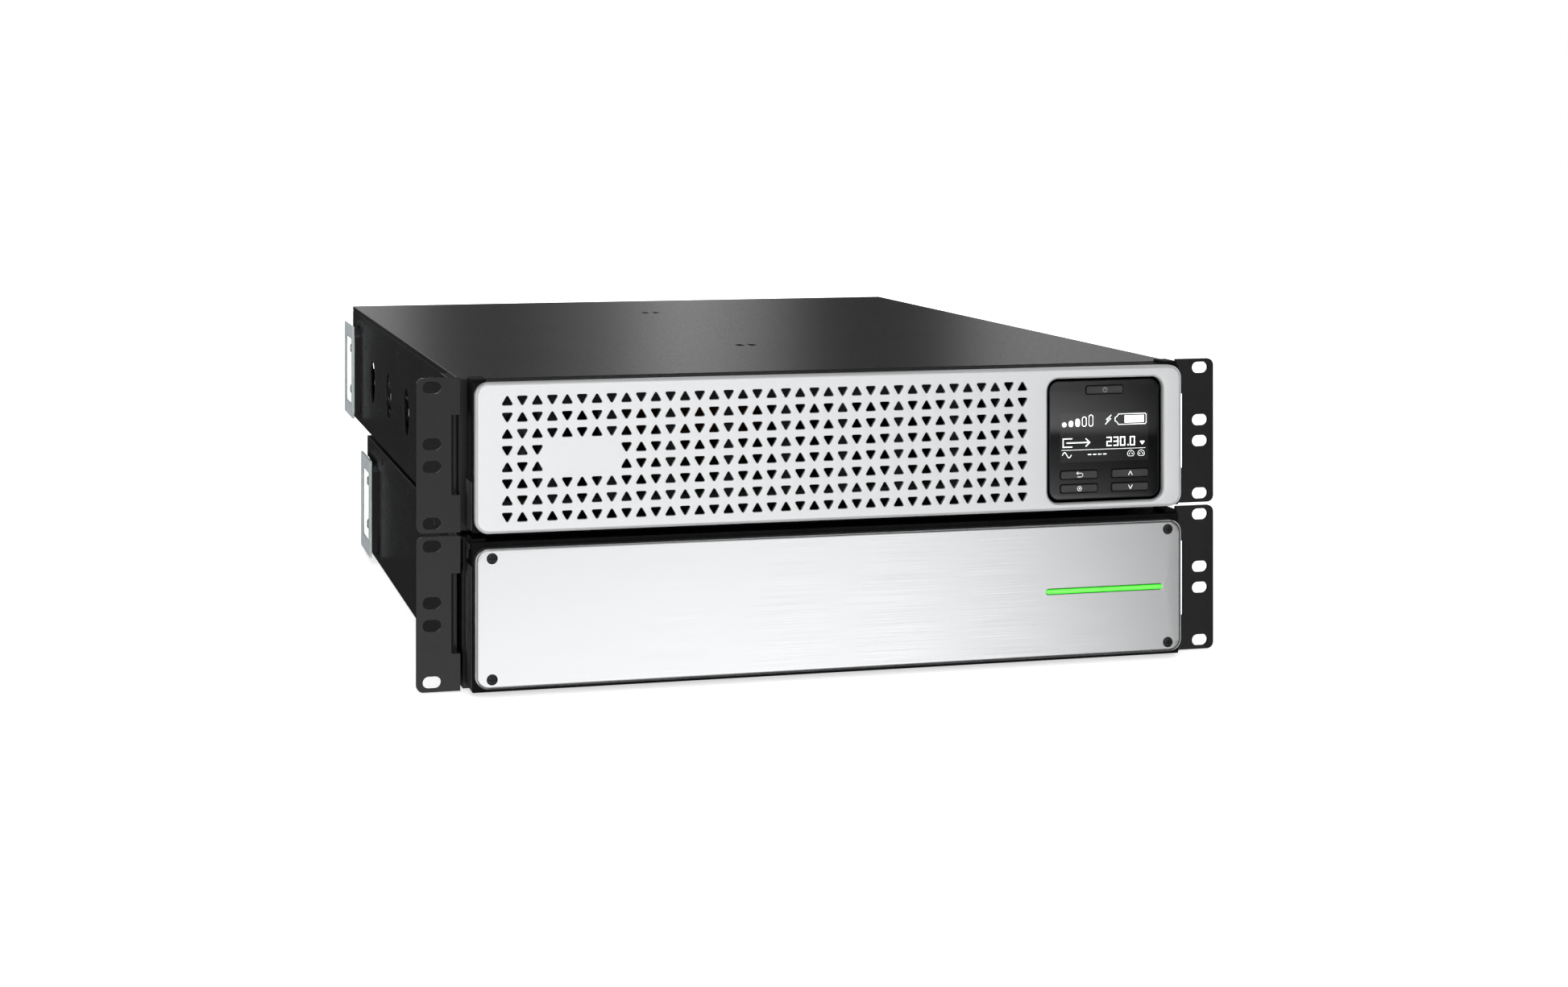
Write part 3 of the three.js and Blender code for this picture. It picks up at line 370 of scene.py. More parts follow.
class Form:
    """A mesh built from loops in x and z that step along y."""

    def __init__(self):
        self.bm = bmesh.new()

    def ring(self, points, y):
        return [self.bm.verts.new((x, y, z)) for x, z in points]

    def wall(self, a, b):
        for i in range(len(a)):
            j = (i + 1) % len(a)
            self.bm.faces.new((a[i], a[j], b[j], b[i]))

    def sweep(self, centres, radius, profile, steps):
        """Loops at radius plus each profile step's growth. Returns the first and last loop."""
        return self.chain([(rounded(centres, radius + grow, steps), y) for grow, y in profile])

    def chain(self, loops):
        """Walls from loop to loop. Returns the first and last loop."""
        rings = [self.ring(points, y) for points, y in loops]
        for a, b in zip(rings, rings[1:]):
            self.wall(a, b)
        return rings[0], rings[-1]

    def close(self, ring):
        self.bm.faces.new(ring)

    def fill(self, outer, holes):
        """A flat face between an outer loop and the loops of its holes."""
        verts, edges, loop_of = [], [], []
        for index, loop in enumerate([outer] + holes):
            first, count = len(verts), len(loop)
            verts += loop
            edges += [(first + i, first + (i + 1) % count) for i in range(count)]
            loop_of += [index] * count
        flat = [Vector((v.co.x, v.co.z)) for v in verts]
        rings = [[(v.co.x, v.co.z) for v in loop] for loop in [outer] + holes]
        _, _, faces, origin, _, _ = delaunay_2d_cdt(flat, edges, [], 1, 1e-5)
        for face in faces:
            corners = [origin[i][0] for i in face]
            loops = {loop_of[i] for i in corners}
            middle = sum((flat[i] for i in corners), Vector((0, 0))) / 3
            if len(loops) == 1 and loops != {0} and inside(rings[loops.pop()], middle):
                continue
            self.bm.faces.new([verts[i] for i in corners])

    def solid(self, centres, radius, profile, steps):
        first, last = self.sweep(centres, radius, profile, steps)
        self.close(first)
        self.close(last)

    def block(self, x0, x1, y0, y1, z0, z1, soft):
        left, right, low, high = x0 + soft, x1 - soft, z0 + soft, z1 - soft
        centres = [(left, low), (right, low), (right, high), (left, high)]
        self.solid(centres, soft, soft_ends(y0, y1, soft * 0.9), 2)


def soft_ends(y0, y1, soft):
    """A profile that rounds a piece over at both its ends."""
    return [(-soft, y0), (-soft * 0.3, y0 + soft * 0.3), (0, y0 + soft),
            (0, y1 - soft), (-soft * 0.3, y1 - soft * 0.3), (-soft, y1)]


def piece(name, form, slot, base, body="chassis", at=(0, 0, 0), turn=None, material=None, stands_for=()):
    """Finishes a form: into metres and into place, smooth with flat faces kept flat, and onto its body."""
    bmesh.ops.recalc_face_normals(form.bm, faces=form.bm.faces)
    mesh = bpy.data.meshes.new(name)
    form.bm.to_mesh(mesh)
    form.bm.free()
    mesh.transform(Matrix.Translation(at) @ (turn or Matrix.Identity(4)))
    mesh.transform(Matrix.Translation((0, EAR_FACE, base)) @ Matrix.Scale(MM, 4))
    mesh.shade_smooth()
    mesh.set_sharp_from_angle(angle=SHARP_ANGLE)
    made = bpy.data.objects.new(name, mesh)
    bpy.context.scene.collection.objects.link(made)
    even = made.modifiers.new("Even", "WEIGHTED_NORMAL")
    even.keep_sharp = True
    mesh.materials.append(material or FINISHES[slot])
    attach(made, body)
    if stands_for:
        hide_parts(*stands_for)


REARWARD = Matrix.Rotation(math.radians(180), 4, "Z")
# Each side's name, the sign of its x, and the turn that points a screw's head outwards
SIDES = (("left", -1, Matrix.Rotation(math.radians(-90), 4, "Z")),
         ("right", 1, Matrix.Rotation(math.radians(90), 4, "Z")))


# ---------------------------------------------------------------- front

FACE_WIDTH = 422.4
FACE_CORNER = 7.5
FACE_EDGE = 2.2
WALL = 2.2


def front_panel(form, z, height, holes):
    """A pressed pan with rounded edges. Each hole is what sweep takes, its profile from front to back."""
    arc = [math.pi / 2 * k / 7 for k in range(8)]
    outside = [(FACE_EDGE * (math.sin(a) - 1), FACE + FACE_EDGE * (1 - math.cos(a))) for a in arc]
    lining = [(0, RIM_BACK), (-WALL, RIM_BACK), (-WALL, SHEET_BACK)]
    first, last = form.sweep(*bar(0, z, FACE_WIDTH, height, FACE_CORNER), outside + lining, 8)
    ends = [form.sweep(*hole) for hole in holes]
    form.fill(first, [front for front, _ in ends])
    form.fill(last, [back for _, back in ends])


def grille_holes():
    """Rounded triangles that point up and down in turn, with none in the badge field."""
    rows, columns, badge_rows, badge_columns = 8, 37, range(3, 5), range(3, 8)
    first_x, top_z, pitch_x, pitch_z = -193.5, 75.65, 8.44, 9.264
    corner = 0.8
    half, reach = 2.95 - corner, 2.65 - corner
    lip = [(0.22, FACE), (0.05, FACE + 0.06), (0, FACE + 0.25), (0, SHEET_BACK)]
    holes = []
    for row in range(rows):
        for column in range(columns):
            if row in badge_rows and column in badge_columns:
                continue
            x, z = first_x + column * pitch_x, top_z - row * pitch_z
            way = 1 if (row + column) % 2 == 0 else -1
            base, tip = z - way * reach, z + way * reach
            centres = [(x - way * half, base), (x + way * half, base), (x, tip)]
            holes.append((centres, corner, lip, 4))
    return holes


bezel = Form()
rim_step = -18.3
rim = [(1.25, FACE), (1.0, FACE + 0.1), (0.55, FACE + 0.42), (0.15, FACE + 0.95), (0, FACE + 1.5),
       (0, rim_step), (2, rim_step), (2, SHEET_BACK)]
display_hole = (*bar(DISPLAY_X, DISPLAY_Z, 73, 73.2, 7), rim, 10)
front_panel(bezel, 43.7, 84, grille_holes() + [display_hole])
piece("Bezel_grille", bezel, "silver_panel", POWER, stands_for=["power_bezel"])

PLATE_SCREWS = {"upper_left": (-202, 77.2), "upper_right": (202, 77.2),
                "lower_left": (-202, 10), "lower_right": (202, 10)}
dimple = [(0.92, FACE), (0.9, FACE + 0.2), (0.88, FACE + 0.3), (0, FACE + 0.34), (0, SHEET_BACK)]
plate = Form()
plate_holes = [([place], 2.2, dimple, 6) for place in PLATE_SCREWS.values()]
lamp_ends = [(DISPLAY_X - 35.8, LAMP_Z), (DISPLAY_X + 34.2, LAMP_Z)]
lamp_lip = [(0.25, FACE), (0.05, FACE + 0.08), (0, FACE + 0.3), (0, SHEET_BACK)]
plate_holes.append((lamp_ends, LAMP_RADIUS + 0.3, lamp_lip, 6))
front_panel(plate, 43.35, 78.5, plate_holes)
piece("Battery_fascia", plate, "brushed_panel", BATTERY, stands_for=["battery_front_plate"])

lens = Form()
lens_back = -13
lens.solid(lamp_ends, LAMP_RADIUS, [(-0.8, FACE - 0.25), (-0.35, FACE - 0.2), (-0.08, FACE - 0.05),
                                    (0, FACE + 0.2), (0, lens_back)], 6)
piece("Light_bar_lens", lens, "green_light", BATTERY, stands_for=["light_bar"])


def cross(reach, width):
    """A cross recess's outline, anticlockwise."""
    arm = [(width, width), (width, reach), (-width, reach)]
    points = []
    for turn in range(4):
        c, s = math.cos(turn * math.pi / 2), math.sin(turn * math.pi / 2)
        points += [(x * c - z * s, x * s + z * c) for x, z in arm]
    return points


def screw_form(radius, height, length):
    """Pan head with a cross recess, its seat at y = 0 and its shank behind it."""
    form = Form()
    dome = [(-0.42 * radius, -height), (-0.2 * radius, -0.93 * height), (-0.05 * radius, -0.66 * height),
            (0, -0.35 * height), (0, 0)]
    first, last = form.sweep([(0, 0)], radius, dome, 6)
    shank_first, shank_last = form.sweep([(0, 0)], radius * 0.5, [(0, 0), (0, length)], 6)
    form.fill(last, [shank_first])
    form.close(shank_last)
    recess_first, recess_last = form.chain([
        (cross(0.54 * radius, 0.13 * radius), -height),
        (cross(0.3 * radius, 0.09 * radius), -0.15 * height),
    ])
    form.fill(first, [recess_first])
    form.close(recess_last)
    return form


for corner, (x, z) in PLATE_SCREWS.items():
    piece("Fascia_screw_" + corner, screw_form(3.05, 0.95, 15), "screw_steel", BATTERY,
          at=(x, FACE + CLEARANCE, z), stands_for=["plate_screw_" + corner])

# The frames' side faces: upright ribs at three depths, and on the battery's a hooked latch above them
FRAME_SIDE = 212
RIBS = ((-14.4, -9.6, 0.7), (-7.4, -2.2, 1.2), (0.6, 5.2, 0.9))
HOOK_BARS = ((-6, 4, 80.2, 83.5), (-1, 4, 74.5, 79.9))
HOOK_REACH = 1.1


def side_block(form, sign, reach, front, back, foot, top, soft):
    """A block that stands out from a frame's side face by reach."""
    x0, x1 = sorted((sign * (FRAME_SIDE + CLEARANCE), sign * (FRAME_SIDE + reach)))
    form.block(x0, x1, front, back, foot, top, soft)


for module, base, foot, top in (("Power", POWER, 3, 30), ("Battery", BATTERY, 3, 72)):
    for side, sign, _ in SIDES:
        strip = Form()
        for front, back, reach in RIBS:
            side_block(strip, sign, reach, front, back, foot, top, 0.15)
        piece(f"{module}_frame_ribs_{side}", strip, "black_plastic", base, material=RIB_BLACK)
for side, sign, _ in SIDES:
    hook = Form()
    for front, back, foot, top in HOOK_BARS:
        side_block(hook, sign, HOOK_REACH, front, back, foot, top, 0.2)
    piece(f"Battery_latch_hook_{side}", hook, "black_plastic", BATTERY, material=RIB_BLACK)


# ---------------------------------------------------------------- display

def screen_form(shapes, front, back):
    form = Form()
    for centres, radius in shapes:
        form.solid(centres, radius, [(0, front), (0, back)], 4)
    return form


def strokes(points, width, closed=False):
    """Round-ended strokes from point to point."""
    pairs = list(zip(points, points[1:]))
    if closed:
        pairs.append((points[-1], points[0]))
    return [([a, b], width / 2) for a, b in pairs]


def arc_points(x, z, radius, start, end, parts=12):
    angles = [math.radians(start + (end - start) * k / parts) for k in range(parts + 1)]
    return [(x + radius * math.cos(a), z + radius * math.sin(a)) for a in angles]


KEYS = {"power_button": (0, 29.4), "escape_button": (-16.1, -20.4), "enter_button": (-16.1, -28.5),
        "up_button": (16.1, -20.4), "down_button": (16.1, -28.5)}
AT_DISPLAY = (DISPLAY_X, 0, DISPLAY_Z)

glass = Form()
edge = [(-0.62, GLASS_FRONT), (-0.5, GLASS_FRONT + 0.03), (-0.06, GLASS_FRONT + 0.42),
        (0, GLASS_FRONT + 0.55), (0, GLASS_BACK)]
glass_first, glass_last = glass.sweep(*bar(0, 0, 69.5, 70, 6), edge, 8)
key_lip = [(0.15, GLASS_FRONT), (0, GLASS_FRONT + 0.12), (0, GLASS_BACK)]
key_ends = [glass.sweep(*bar(x, z, 23.8, 5.4, 1.4), key_lip, 4) for x, z in KEYS.values()]
glass.fill(glass_first, [front for front, _ in key_ends])
glass.fill(glass_last, [back for _, back in key_ends])
piece("Display_glass", glass, "gloss_black", POWER, "display", AT_DISPLAY, stands_for=["display_window"])

screen = Form()
screen.solid(*bar(0, 1.5, 55.7, 29, 0.4), [(0, GLASS_FRONT - 0.02), (0, GLASS_FRONT + 0.1)], 4)
piece("Screen_area", screen, "lcd_glass", POWER, "display", AT_DISPLAY, material=SCREEN_DARK)

# The top row: five load bars, three of them filled, a flash and a charged battery
icons = []
BARS_FOOT = 7.8
BAR_RADIUS = 1.45
for index, height in enumerate((2.7, 3.8, 4.9, 6.0, 7.0)):
    x = -25.3 + index * 4.2
    low, high = BARS_FOOT + BAR_RADIUS, BARS_FOOT + height - BAR_RADIUS
    column = [(x, low), (x, max(high, low + 0.05))]
    if index < 3:
        icons.append((column, BAR_RADIUS))
    else:
        icons += strokes(rounded(column, BAR_RADIUS - 0.2, 5), 0.4, True)
icons += strokes([(4.3, 14.2), (1.2, 11.7), (2.5, 11.4), (0.7, 8.9), (4.1, 12.0), (2.8, 12.3)], 0.34, True)
battery_outline = [(9, 14.7), (7.9, 13.2), (6.8, 12.6), (6.8, 10.6), (7.9, 10.0), (9, 8.5), (25.9, 8.5),
                   (26.6, 9.2), (26.6, 14.0), (25.9, 14.7)]
icons += strokes(battery_outline, 0.42, True)
icons.append(bar(19, 11.6, 12.4, 4.4, 0.3))
# A dividing line, and a sine wave under it
icons += strokes([(-27, -5.8), (26, -5.8)], 0.24)
sine = [(-26.5 + 5.6 * k / 16, -8.7 + 1.6 * math.sin(2 * math.pi * k / 16)) for k in range(17)]
icons += strokes(sine, 0.4)

SEGMENTS = {"a": ((0, 1), (1, 1)), "b": ((1, 1), (1, 0.5)), "c": ((1, 0.5), (1, 0)), "d": ((0, 0), (1, 0)),
            "e": ((0, 0.5), (0, 0)), "f": ((0, 1), (0, 0.5)), "g": ((0, 0.5), (1, 0.5))}
DIGITS = {"2": "abged", "3": "abgcd", "0": "abcdef"}
DIGIT_FOOT, DIGIT_WIDTH, DIGIT_HEIGHT = -3.8, 2.6, 4.8
for index, digit in enumerate("2300"):
    left = 1.7 + index * 4.3 + (1.9 if index == 3 else 0)
    for segment in DIGITS[digit]:
        ends = [(left + DIGIT_WIDTH * x, DIGIT_FOOT + DIGIT_HEIGHT * z) for x, z in SEGMENTS[segment]]
        icons += strokes(ends, 0.74)
# The point between the digits, and a small triangle where the unit would be
icons.append(([(15.05, -3.7)], 0.5))
icons.append(([(22.9, -1.9), (24.1, -3.5), (25.3, -1.9)], 0.3))
# An arrow out of a box for the output row, four dashes for the state, two sockets
icons += strokes([(-20.5, 0.9), (-26, 0.9), (-26, -4), (-20.5, -4)], 0.62)
icons += strokes([(-23.6, -1.55), (-9.4, -1.55)], 0.7)
icons += strokes([(-11.6, 0.6), (-9.3, -1.55), (-11.6, -3.7)], 0.7)
for x in (-10.2, -7, -3.8, -0.6):
    icons += strokes([(x, -8.7), (x + 1.7, -8.7)], 0.62)
for x in (16.8, 23.4):
    icons += strokes(arc_points(x, -9.1, 2.1, -15, 195), 0.22)
    icons += strokes([(x - 2, -9.7), (x - 1.3, -10.4), (x + 1.3, -10.4), (x + 2, -9.7)], 0.22)
    icons += [([(x - 0.9, -9.3), (x - 0.9, -8.8)], 0.22), ([(x + 0.9, -9.3), (x + 0.9, -8.8)], 0.22),
              ([(x, -8)], 0.26)]
symbols = screen_form(icons, GLASS_FRONT - 0.05, GLASS_FRONT + 0.05)
piece("Screen_symbols", symbols, "lcd_glass", POWER, "display", AT_DISPLAY, material=INK_WHITE)

MARKS = {
    "power_button": strokes(arc_points(0, 0, 1.3, 125, 415), 0.28) + strokes([(0, 0.3), (0, 1.7)], 0.28),
    "escape_button": strokes([(-1.2, -1.2), (1.0, -1.2)], 0.45)
    + strokes(arc_points(1.0, -0.1, 1.1, -90, 90, 8), 0.45)
    + strokes([(1.0, 1.0), (-1.8, 1.0)], 0.45) + strokes([(-0.9, 1.7), (-1.9, 1.0), (-0.9, 0.3)], 0.4),
    "enter_button": strokes(arc_points(0, 0, 1.3, 0, 360, 16), 0.45) + [([(0, 0)], 0.5)],
    "up_button": strokes([(-1.2, -1.0), (0, 1.2), (1.2, -1.0)], 0.5),
    "down_button": strokes([(-1.2, 1.0), (0, -1.2), (1.2, 1.0)], 0.5),
}
# A key's cap from front to back: a rounded front, and a flange that stops it behind the glass
crown = [(-0.75, KEY_FRONT), (-0.3, KEY_FRONT + 0.12), (-0.05, KEY_FRONT + 0.45), (0, KEY_FRONT + 0.8),
         (0, -16.4), (0.6, -16.4), (0.6, -15.4), (0, -15.4), (0, -14.6)]
for key, (x, z) in KEYS.items():
    title = key.replace("_button", "_key").capitalize()
    cap = Form()
    cap.solid(*bar(0, 0, 23, 4.6, 1.2), crown, 5)
    place = (DISPLAY_X + x, 0, DISPLAY_Z + z)
    piece(title, cap, "key_plastic", POWER, key, place, stands_for=[key])
    ink = INK_GREY if key == "power_button" else INK_LIGHT
    mark = screen_form(MARKS[key], KEY_FRONT - 0.02, KEY_FRONT + 0.05)
    piece(title + "_mark", mark, "key_plastic", POWER, key, place, material=ink)


# ---------------------------------------------------------------- sides

BRACKET_SCREW_FROM_REAR = 24
BRACKET_SCREW_SEAT = 0.2  # outside the wall
SIDE_HOLES_Y = (257, 360, 463)
SIDE_HOLES_Z = 39.8

for module, base, rear, wall in (("Power", POWER, POWER_REAR, HALF_WIDTH),
                                 ("Battery", BATTERY, BATTERY_REAR, TRAY_HALF_WIDTH)):
    for side, sign, turn in SIDES:
        seat, y = sign * (wall + BRACKET_SCREW_SEAT), rear - BRACKET_SCREW_FROM_REAR
        for place, z in (("upper", 54.9), ("lower", 23.1)):
            piece(f"{module}_bracket_screw_{side}_{place}", screw_form(4, 4.2, 1.5), "zinc_plate", base,
                  at=(seat, y, z), turn=turn, material=BRIGHT_STEEL)
        for place, y, z in (("front", 20, 71), ("rear", 56, 12)):
            piece(f"{module}_ear_screw_{side}_{place}", screw_form(3, 1.3, 2), "screw_steel", base,
                  at=(sign * EAR_HALF_WIDTH, y, z), turn=turn)

for side, sign, turn in SIDES:
    for kind, base, z, depths in (("Battery_cover", BATTERY, 78, (110, 242, 400)),
                                  ("Power_side", POWER, 74, (130, 300, 560))):
        for index, y in enumerate(depths):
            piece(f"{kind}_screw_{side}_{index + 1}", screw_form(2.4, 0.8, 1.5), "screw_steel", base,
                  at=(sign * (HALF_WIDTH + CLEARANCE), y, z), turn=turn)

# A bright spacer behind each large side hole, 3 mm in front of the hole's middle
SPACER_SEAT = 214.8
SPACER_LEAD = 3
for side, sign, turn in SIDES:
    for index, y in enumerate(SIDE_HOLES_Y):
        spacer = Form()
        spacer.solid([(0, 0)], 3, soft_ends(0, 9, 0.4), 6)
        piece(f"Side_spacer_{side}_{index + 1}", spacer, "zinc_plate", POWER,
              at=(sign * SPACER_SEAT, y - SPACER_LEAD, SIDE_HOLES_Z), turn=turn)


# ---------------------------------------------------------------- rear

RING_PARTS = 40
WIRE_SIDES = 8


def tube_ring(form, x, z, radius, wire, y):
    """A closed wire ring facing the rear."""
    rows = []
    for k in range(RING_PARTS):
        angle = 2 * math.pi * k / RING_PARTS
        row = []
        for s in range(WIRE_SIDES):
            turn = 2 * math.pi * s / WIRE_SIDES
            reach = radius + wire * math.cos(turn)
            spot = (x + reach * math.cos(angle), y + wire * math.sin(turn), z + reach * math.sin(angle))
            row.append(form.bm.verts.new(spot))
        rows.append(row)
    for k in range(RING_PARTS):
        form.wall(rows[k], rows[(k + 1) % RING_PARTS])


def wire_bar(form, a, b, wire, y):
    """A straight wire in the plane at y."""
    along = Vector((b[0] - a[0], 0, b[1] - a[1])).normalized()
    across = Vector((-along.z, 0, along.x))
    ends = []
    for x, z in (a, b):
        ring = []
        for s in range(WIRE_SIDES):
            turn = 2 * math.pi * s / WIRE_SIDES
            offset = across * (wire * math.cos(turn)) + Vector((0, wire * math.sin(turn), 0))
            ring.append(form.bm.verts.new(Vector((x, y, z)) + offset))
        ends.append(ring)
    form.wall(ends[0], ends[1])
    form.close(ends[0])
    form.close(ends[1])


FAN_Z = 43
GUARD_RINGS = (8, 14.5, 21, 27.5)
GUARD_ARM_REACH = 35
GUARD_SCREW_REACH = 35.4
GUARD_WIRE = 0.8
GUARD_ARMS = [(math.cos(math.radians(a)), math.sin(math.radians(a))) for a in (45, 135, 225, 315)]
for side, x in (("left", -175), ("right", -105)):
    guard = Form()
    for radius in GUARD_RINGS:
        tube_ring(guard, x, FAN_Z, radius, GUARD_WIRE, POWER_REAR + 2)
    for c, s in GUARD_ARMS:
        start, end = [(x + reach * c, FAN_Z + reach * s) for reach in (GUARD_RINGS[0], GUARD_ARM_REACH)]
        wire_bar(guard, start, end, GUARD_WIRE, POWER_REAR + 1)
    piece(f"Fan_guard_{side}", guard, "port_shell", POWER, material=BRIGHT_STEEL)
    for index, (c, s) in enumerate(GUARD_ARMS):
        piece(f"Fan_screw_{side}_{index + 1}", screw_form(3, 1.6, 2), "screw_steel", POWER,
              at=(x + GUARD_SCREW_REACH * c, POWER_REAR + 2, FAN_Z + GUARD_SCREW_REACH * s), turn=REARWARD)


def knurled(radius, height):
    """A thumbscrew's grooved head with a step on its front."""
    form = Form()
    waves = 20

    def loop(scale):
        points = []
        for k in range(waves * 4):
            angle = 2 * math.pi * k / (waves * 4)
            reach = radius * scale * (1 + 0.035 * math.cos(waves * angle))
            points.append((reach * math.cos(angle), reach * math.sin(angle)))
        return points

    first, last = form.chain([(loop(0.55), -height), (loop(0.6), -height + 0.5), (loop(0.9), -height + 0.5),
                              (loop(1), -height + 0.9), (loop(1), -0.5), (loop(0.85), 0)])
    form.close(first)
    form.close(last)
    return form


for side, x in (("left", 126), ("right", 202)):
    piece(f"Card_slot_thumbscrew_{side}", knurled(3.6, 3.6), "zinc_plate", POWER, at=(x, POWER_REAR + 2, 64),
          turn=REARWARD, material=BRIGHT_STEEL)

# The ground stud with its hexagon nut and washer
STUD_X, STUD_Z, NUT_REACH = -203, 12, 3.6
stud = Form()
stud.solid([(STUD_X, STUD_Z)], 1.8, soft_ends(POWER_REAR - 1, POWER_REAR + 5.6, 0.4), 5)
nut = [(STUD_X + NUT_REACH * math.cos(math.radians(a)), STUD_Z + NUT_REACH * math.sin(math.radians(a)))
       for a in range(0, 360, 60)]
stud.solid(nut, 0.4, soft_ends(POWER_REAR + 0.8, POWER_REAR + 3.4, 0.3), 2)
stud.solid([(STUD_X, STUD_Z)], 4.6, soft_ends(POWER_REAR + CLEARANCE, POWER_REAR + 0.75, 0.15), 6)
piece("Ground_stud", stud, "zinc_plate", POWER, material=BRIGHT_STEEL)

terminal = Form()
TERMINAL_BACK = POWER_REAR + 5.4
terminal.block(-71, -57, POWER_REAR + 0.1, TERMINAL_BACK, 60, 69, 0.4)
piece("Emergency_off_terminal", terminal, "black_plastic", POWER, material=TERMINAL_BLACK)
for index, x in enumerate((-67.5, -60.5)):
    piece(f"Emergency_off_screw_{index + 1}", screw_form(2.1, 0.5, 2), "screw_steel", POWER,
          at=(x, TERMINAL_BACK, 64.5), turn=REARWARD, material=BRIGHT_STEEL)

PINS, PIN_PITCH, PIN_HALF = 8, 1.02, 0.18
for index, x in enumerate((130, 145)):
    contacts = Form()
    for pin in range(PINS):
        px = x + (pin - (PINS - 1) / 2) * PIN_PITCH
        contacts.block(px - PIN_HALF, px + PIN_HALF, POWER_REAR - 10.5, POWER_REAR - 3, 28.6, 29.2, 0.06)
    piece(f"Data_socket_contacts_{index + 1}", contacts, "port_shell", POWER, material=BRASS)

# Rear panel screws. The ground stud has one lower corner, and the battery's stays empty to match
for module, base, rear, heights in (("Power", POWER, POWER_REAR, (6.5, 79)),
                                    ("Battery", BATTERY, BATTERY_REAR, (8, 79))):
    for row, z in zip(("lower", "upper"), heights):
        for index, x in enumerate((-208, -70, 108, 208)):
            if row == "lower" and index == 0:
                continue
            piece(f"{module}_rear_screw_{row}_{index + 1}", screw_form(2.6, 1.0, 1.6), "screw_steel", base,
                  at=(x, rear + CLEARANCE, z), turn=REARWARD)


# ---------------------------------------------------------------- carried-over CAD nodes

# Bevel widths by node. An entry without a last word stands for the pair, such as power_ear_left and
# power_ear_right.
BEVELS = {
    0.25: ("power_rear_panel", "battery_rear_panel", "port_block"),
    0.3: ("power_bracket", "battery_bracket", "display_housing", "card_slot_cover", "fan_rotor"),
    0.35: ("power_base_tray", "power_top_cover", "battery_base_tray", "battery_top_cover", "power_ear",
           "battery_ear"),
    0.4: ("outlet_bank", "lead_socket", "pack_socket", "breaker_body", "stacking_strip"),
    0.5: ("power_bezel_frame", "battery_bezel_frame", "power_inlet", "breaker_button", "disconnect_body",
          "fan_frame"),
    0.6: ("disconnect_lever",),
}
BEVEL_OF = {name: width for width, names in BEVELS.items() for name in names}
BEVEL_ANGLE = math.radians(50)
WELD_DISTANCE = 0.00001
# How far from the middle each bracket's leg reaches, in metres; the leg is painted black as shade
POWER_SHADED_LEG = 0.2212
BATTERY_SHADED_LEG = 0.2196
BRACKET_FINISHES = {
    "power_bracket": bracket_leg_shade_finish("Power_bracket_zinc_painted_leg_shade", POWER_SHADED_LEG),
    "battery_bracket": bracket_leg_shade_finish("Battery_bracket_zinc_painted_leg_shade", BATTERY_SHADED_LEG),
}
for name, node in NODES.items():
    if node.hide_render:
        continue
    pair = name.rsplit("_", 1)[0]
    node.data.materials.clear()
    node.data.materials.append(BRACKET_FINISHES.get(pair, FINISHES[SLOT_OF[name]]))
    width = BEVEL_OF.get(name, BEVEL_OF.get(pair))
    if width:
        weld = node.modifiers.new("Weld", "WELD")
        weld.merge_threshold = WELD_DISTANCE
        soften = node.modifiers.new("Soften", "BEVEL")
        soften.width = width * MM
        soften.segments = 2
        soften.limit_method = "ANGLE"
        soften.angle_limit = BEVEL_ANGLE


# ---------------------------------------------------------------- floor, light and camera

FLOOR_REACH = 9
FLOOR_Z = -0.0005
floor_mesh = bpy.data.meshes.new("Floor")
floor_corners = [(x * FLOOR_REACH, y * FLOOR_REACH, FLOOR_Z) for x, y in ((-1, -1), (1, -1), (1, 1), (-1, 1))]
floor_mesh.from_pydata(floor_corners, [], [(0, 1, 2, 3)])
floor = bpy.data.objects.new("Floor", floor_mesh)
bpy.context.scene.collection.objects.link(floor)
paper = Finish("Paper_floor", roughness=0.9, specular=0.1)
paper.colour(paper.noise(2), (0.9, 0.9, 0.9), (0.92, 0.92, 0.92))
# It glows more with distance from the object, so that it ends in white without a horizon
paper.shader.inputs["Emission Color"].default_value = (1, 1, 1, 1)
distance = paper.node("ShaderNodeVectorMath", operation="LENGTH")
paper.link(paper.space, distance.inputs[0])
fade = paper.spread(distance.outputs["Value"], 0.6, 2.6, 0.64, 1.05)
paper.link(fade, paper.shader.inputs["Emission Strength"])
floor_mesh.materials.append(paper.material)
floor.visible_glossy = False

world = bpy.data.worlds.new("Studio")
bpy.context.scene.world = world
world.use_nodes = True
sky = world.node_tree
background = sky.nodes["Background"]
background.inputs["Color"].default_value = (1, 1, 1, 1)
direction = sky.nodes.new("ShaderNodeTexCoord")
parts = sky.nodes.new("ShaderNodeSeparateXYZ")
sky.links.new(direction.outputs["Generated"], parts.inputs["Vector"])


def sky_math(operation, a, b):
    """One operation on two inputs, each a socket or a number."""
    made = sky.nodes.new("ShaderNodeMath")
    made.operation = operation
    for socket, value in zip(made.inputs, (a, b)):
        if isinstance(value, (int, float)):
            socket.default_value = value
        else:
            sky.links.new(value, socket)
    return made.outputs["Value"]


def sky_ramp(value, start, end, low, high, easing="SMOOTHSTEP"):
    """From low at start to high at end, and level outside them."""
    made = sky.nodes.new("ShaderNodeMapRange")
    made.interpolation_type = easing
    for key, number in (("From Min", start), ("From Max", end), ("To Min", low), ("To Max", high)):
        made.inputs[key].default_value = number
    sky.links.new(value, made.inputs["Value"])
    return made.outputs["Result"]


def sky_curve(value, start, end, stops):
    """A smooth run of levels over a value's range."""
    node = sky.nodes.new("ShaderNodeValToRGB")
    node.color_ramp.interpolation = "EASE"
    elements = node.color_ramp.elements
    for place, _ in stops[1:-1]:
        elements.new((place - start) / (end - start))
    for element, (place, level) in zip(elements, stops):
        element.position = (place - start) / (end - start)
        element.color = (level, level, level, 1)
    sky.links.new(sky_ramp(value, start, end, 0, 1, "LINEAR"), node.inputs["Fac"])
    return node.outputs["Color"]


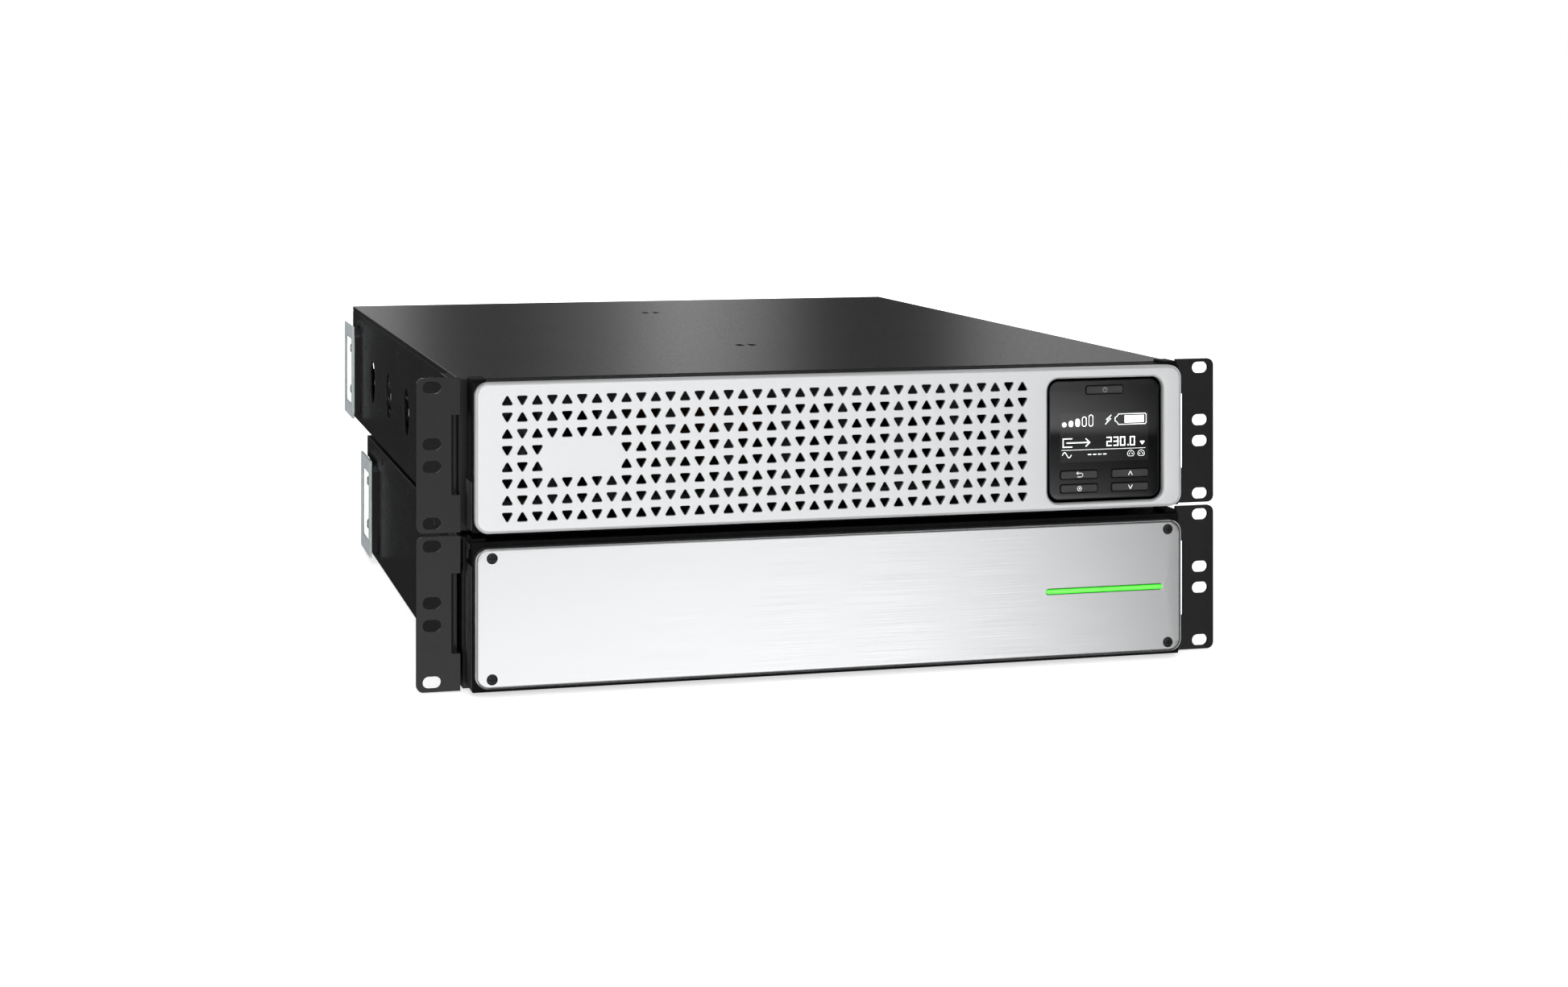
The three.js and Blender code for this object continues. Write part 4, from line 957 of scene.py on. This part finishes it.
# In front: a bright wall that ends a little to the right, dimmer at the left, under the floor and
# overhead, with a dark card low in it. Behind: soft glows above the horizon, darkness below it, and
# a plain bright wall at each flank.
EDGE_AZIMUTH = math.radians(23)
east, north, up = (parts.outputs[letter] for letter in "XYZ")
rightward = sky_math("ADD", sky_math("MULTIPLY", east, math.cos(EDGE_AZIMUTH)),
                     sky_math("MULTIPLY", north, math.sin(EDGE_AZIMUTH)))
wall_width = sky_curve(east, -1, 1, [
    (-1, 0.1), (-0.75, 0.15), (-0.45, 0.76), (0.12, 0.8), (0.3, 1), (1, 1)])
wall = sky_math("MULTIPLY", sky_ramp(rightward, -0.05, 0.03, 1.45, 0.02), wall_width)
card = sky_curve(up, -0.3, 0.1, [
    (-0.3, 1), (-0.16, 0.95), (-0.142, 0.55), (-0.128, 0.2), (-0.1185, 0.06), (-0.1165, 1), (-0.098, 0.5),
    (-0.05, 0.6), (0.1, 0.85)])
wall_height = sky_math("MULTIPLY", sky_ramp(up, -0.7, -0.3, 0.15, 1), sky_ramp(up, 0.1, 0.8, 1, 0.5))
front = sky_math("MULTIPLY", wall, sky_math("MULTIPLY", wall_height, card))
glows = sky_curve(east, -0.5, 0.5, [
    (-0.5, 0.3), (-0.1, 0.3), (0.085, 1), (0.107, 0.8), (0.128, 0.02), (0.15, 0.05), (0.19, 0.25), (0.222, 1),
    (0.245, 0.55), (0.272, 0.02), (0.312, 0.05), (0.342, 0.75), (0.38, 0.6), (0.5, 0.4)])
belt = sky_curve(up, -1, 1, [
    (-1, 0.05), (-0.04, 0.05), (0.03, 1), (0.15, 1), (0.3, 0.3), (0.6, 0.2), (1, 0.4)])
flank = sky_ramp(sky_math("ABSOLUTE", east, 0), 0.45, 0.75, 0, 0.7)
behind = sky_math("MAXIMUM", sky_math("MULTIPLY", glows, belt), flank)
rearward = sky_ramp(north, -0.1, 0.15, 0, 1)
glow = sky_math("ADD", sky_math("MULTIPLY", behind, rearward),
                sky_math("MULTIPLY", front, sky_math("SUBTRACT", 1, rearward)))
# The camera itself sees plain white
path = sky.nodes.new("ShaderNodeLightPath")
mix = sky.nodes.new("ShaderNodeMix")
sky.links.new(path.outputs["Is Camera Ray"], mix.inputs["Factor"])
sky.links.new(glow, mix.inputs["A"])
mix.inputs["B"].default_value = 1.0
sky.links.new(mix.outputs["Result"], background.inputs["Strength"])


def soft_light(name, place, target, size, power):
    """A broad lamp that leaves no mark of its own in the gloss."""
    data = bpy.data.lights.new(name, "AREA")
    data.shape = "RECTANGLE"
    data.size, data.size_y = size
    data.energy = power
    lamp = bpy.data.objects.new(name, data)
    lamp.location = place
    lamp.visible_glossy = False
    lamp.rotation_euler = (Vector(target) - Vector(place)).to_track_quat("-Z", "Y").to_euler()
    bpy.context.scene.collection.objects.link(lamp)


soft_light("Overhead", (0.1, -0.2, 2.6), (0, 0, 0), (3.2, 3.2), 36)
soft_light("Front", (-0.3, -2.8, 1.2), (0, 0, 0.08), (1.8, 1.4), 24)
soft_light("Rear", (0.4, 3, 1.2), (0, 0, 0.08), (2.4, 1.2), 30)

# Fitted to the photograph: level, with its verticals upright, so the lens is shifted down
eye = bpy.data.cameras.new("Camera")
eye.sensor_width = 36
eye.lens = 59.74
eye.shift_y = -0.2373
camera = bpy.data.objects.new("Camera", eye)
camera.location = (-0.42072, -1.75238, 0.31971)
camera.rotation_euler = (math.pi / 2, 0, -0.2629)
bpy.context.scene.collection.objects.link(camera)
bpy.context.scene.camera = camera
bpy.context.scene.view_settings.view_transform = "Standard"
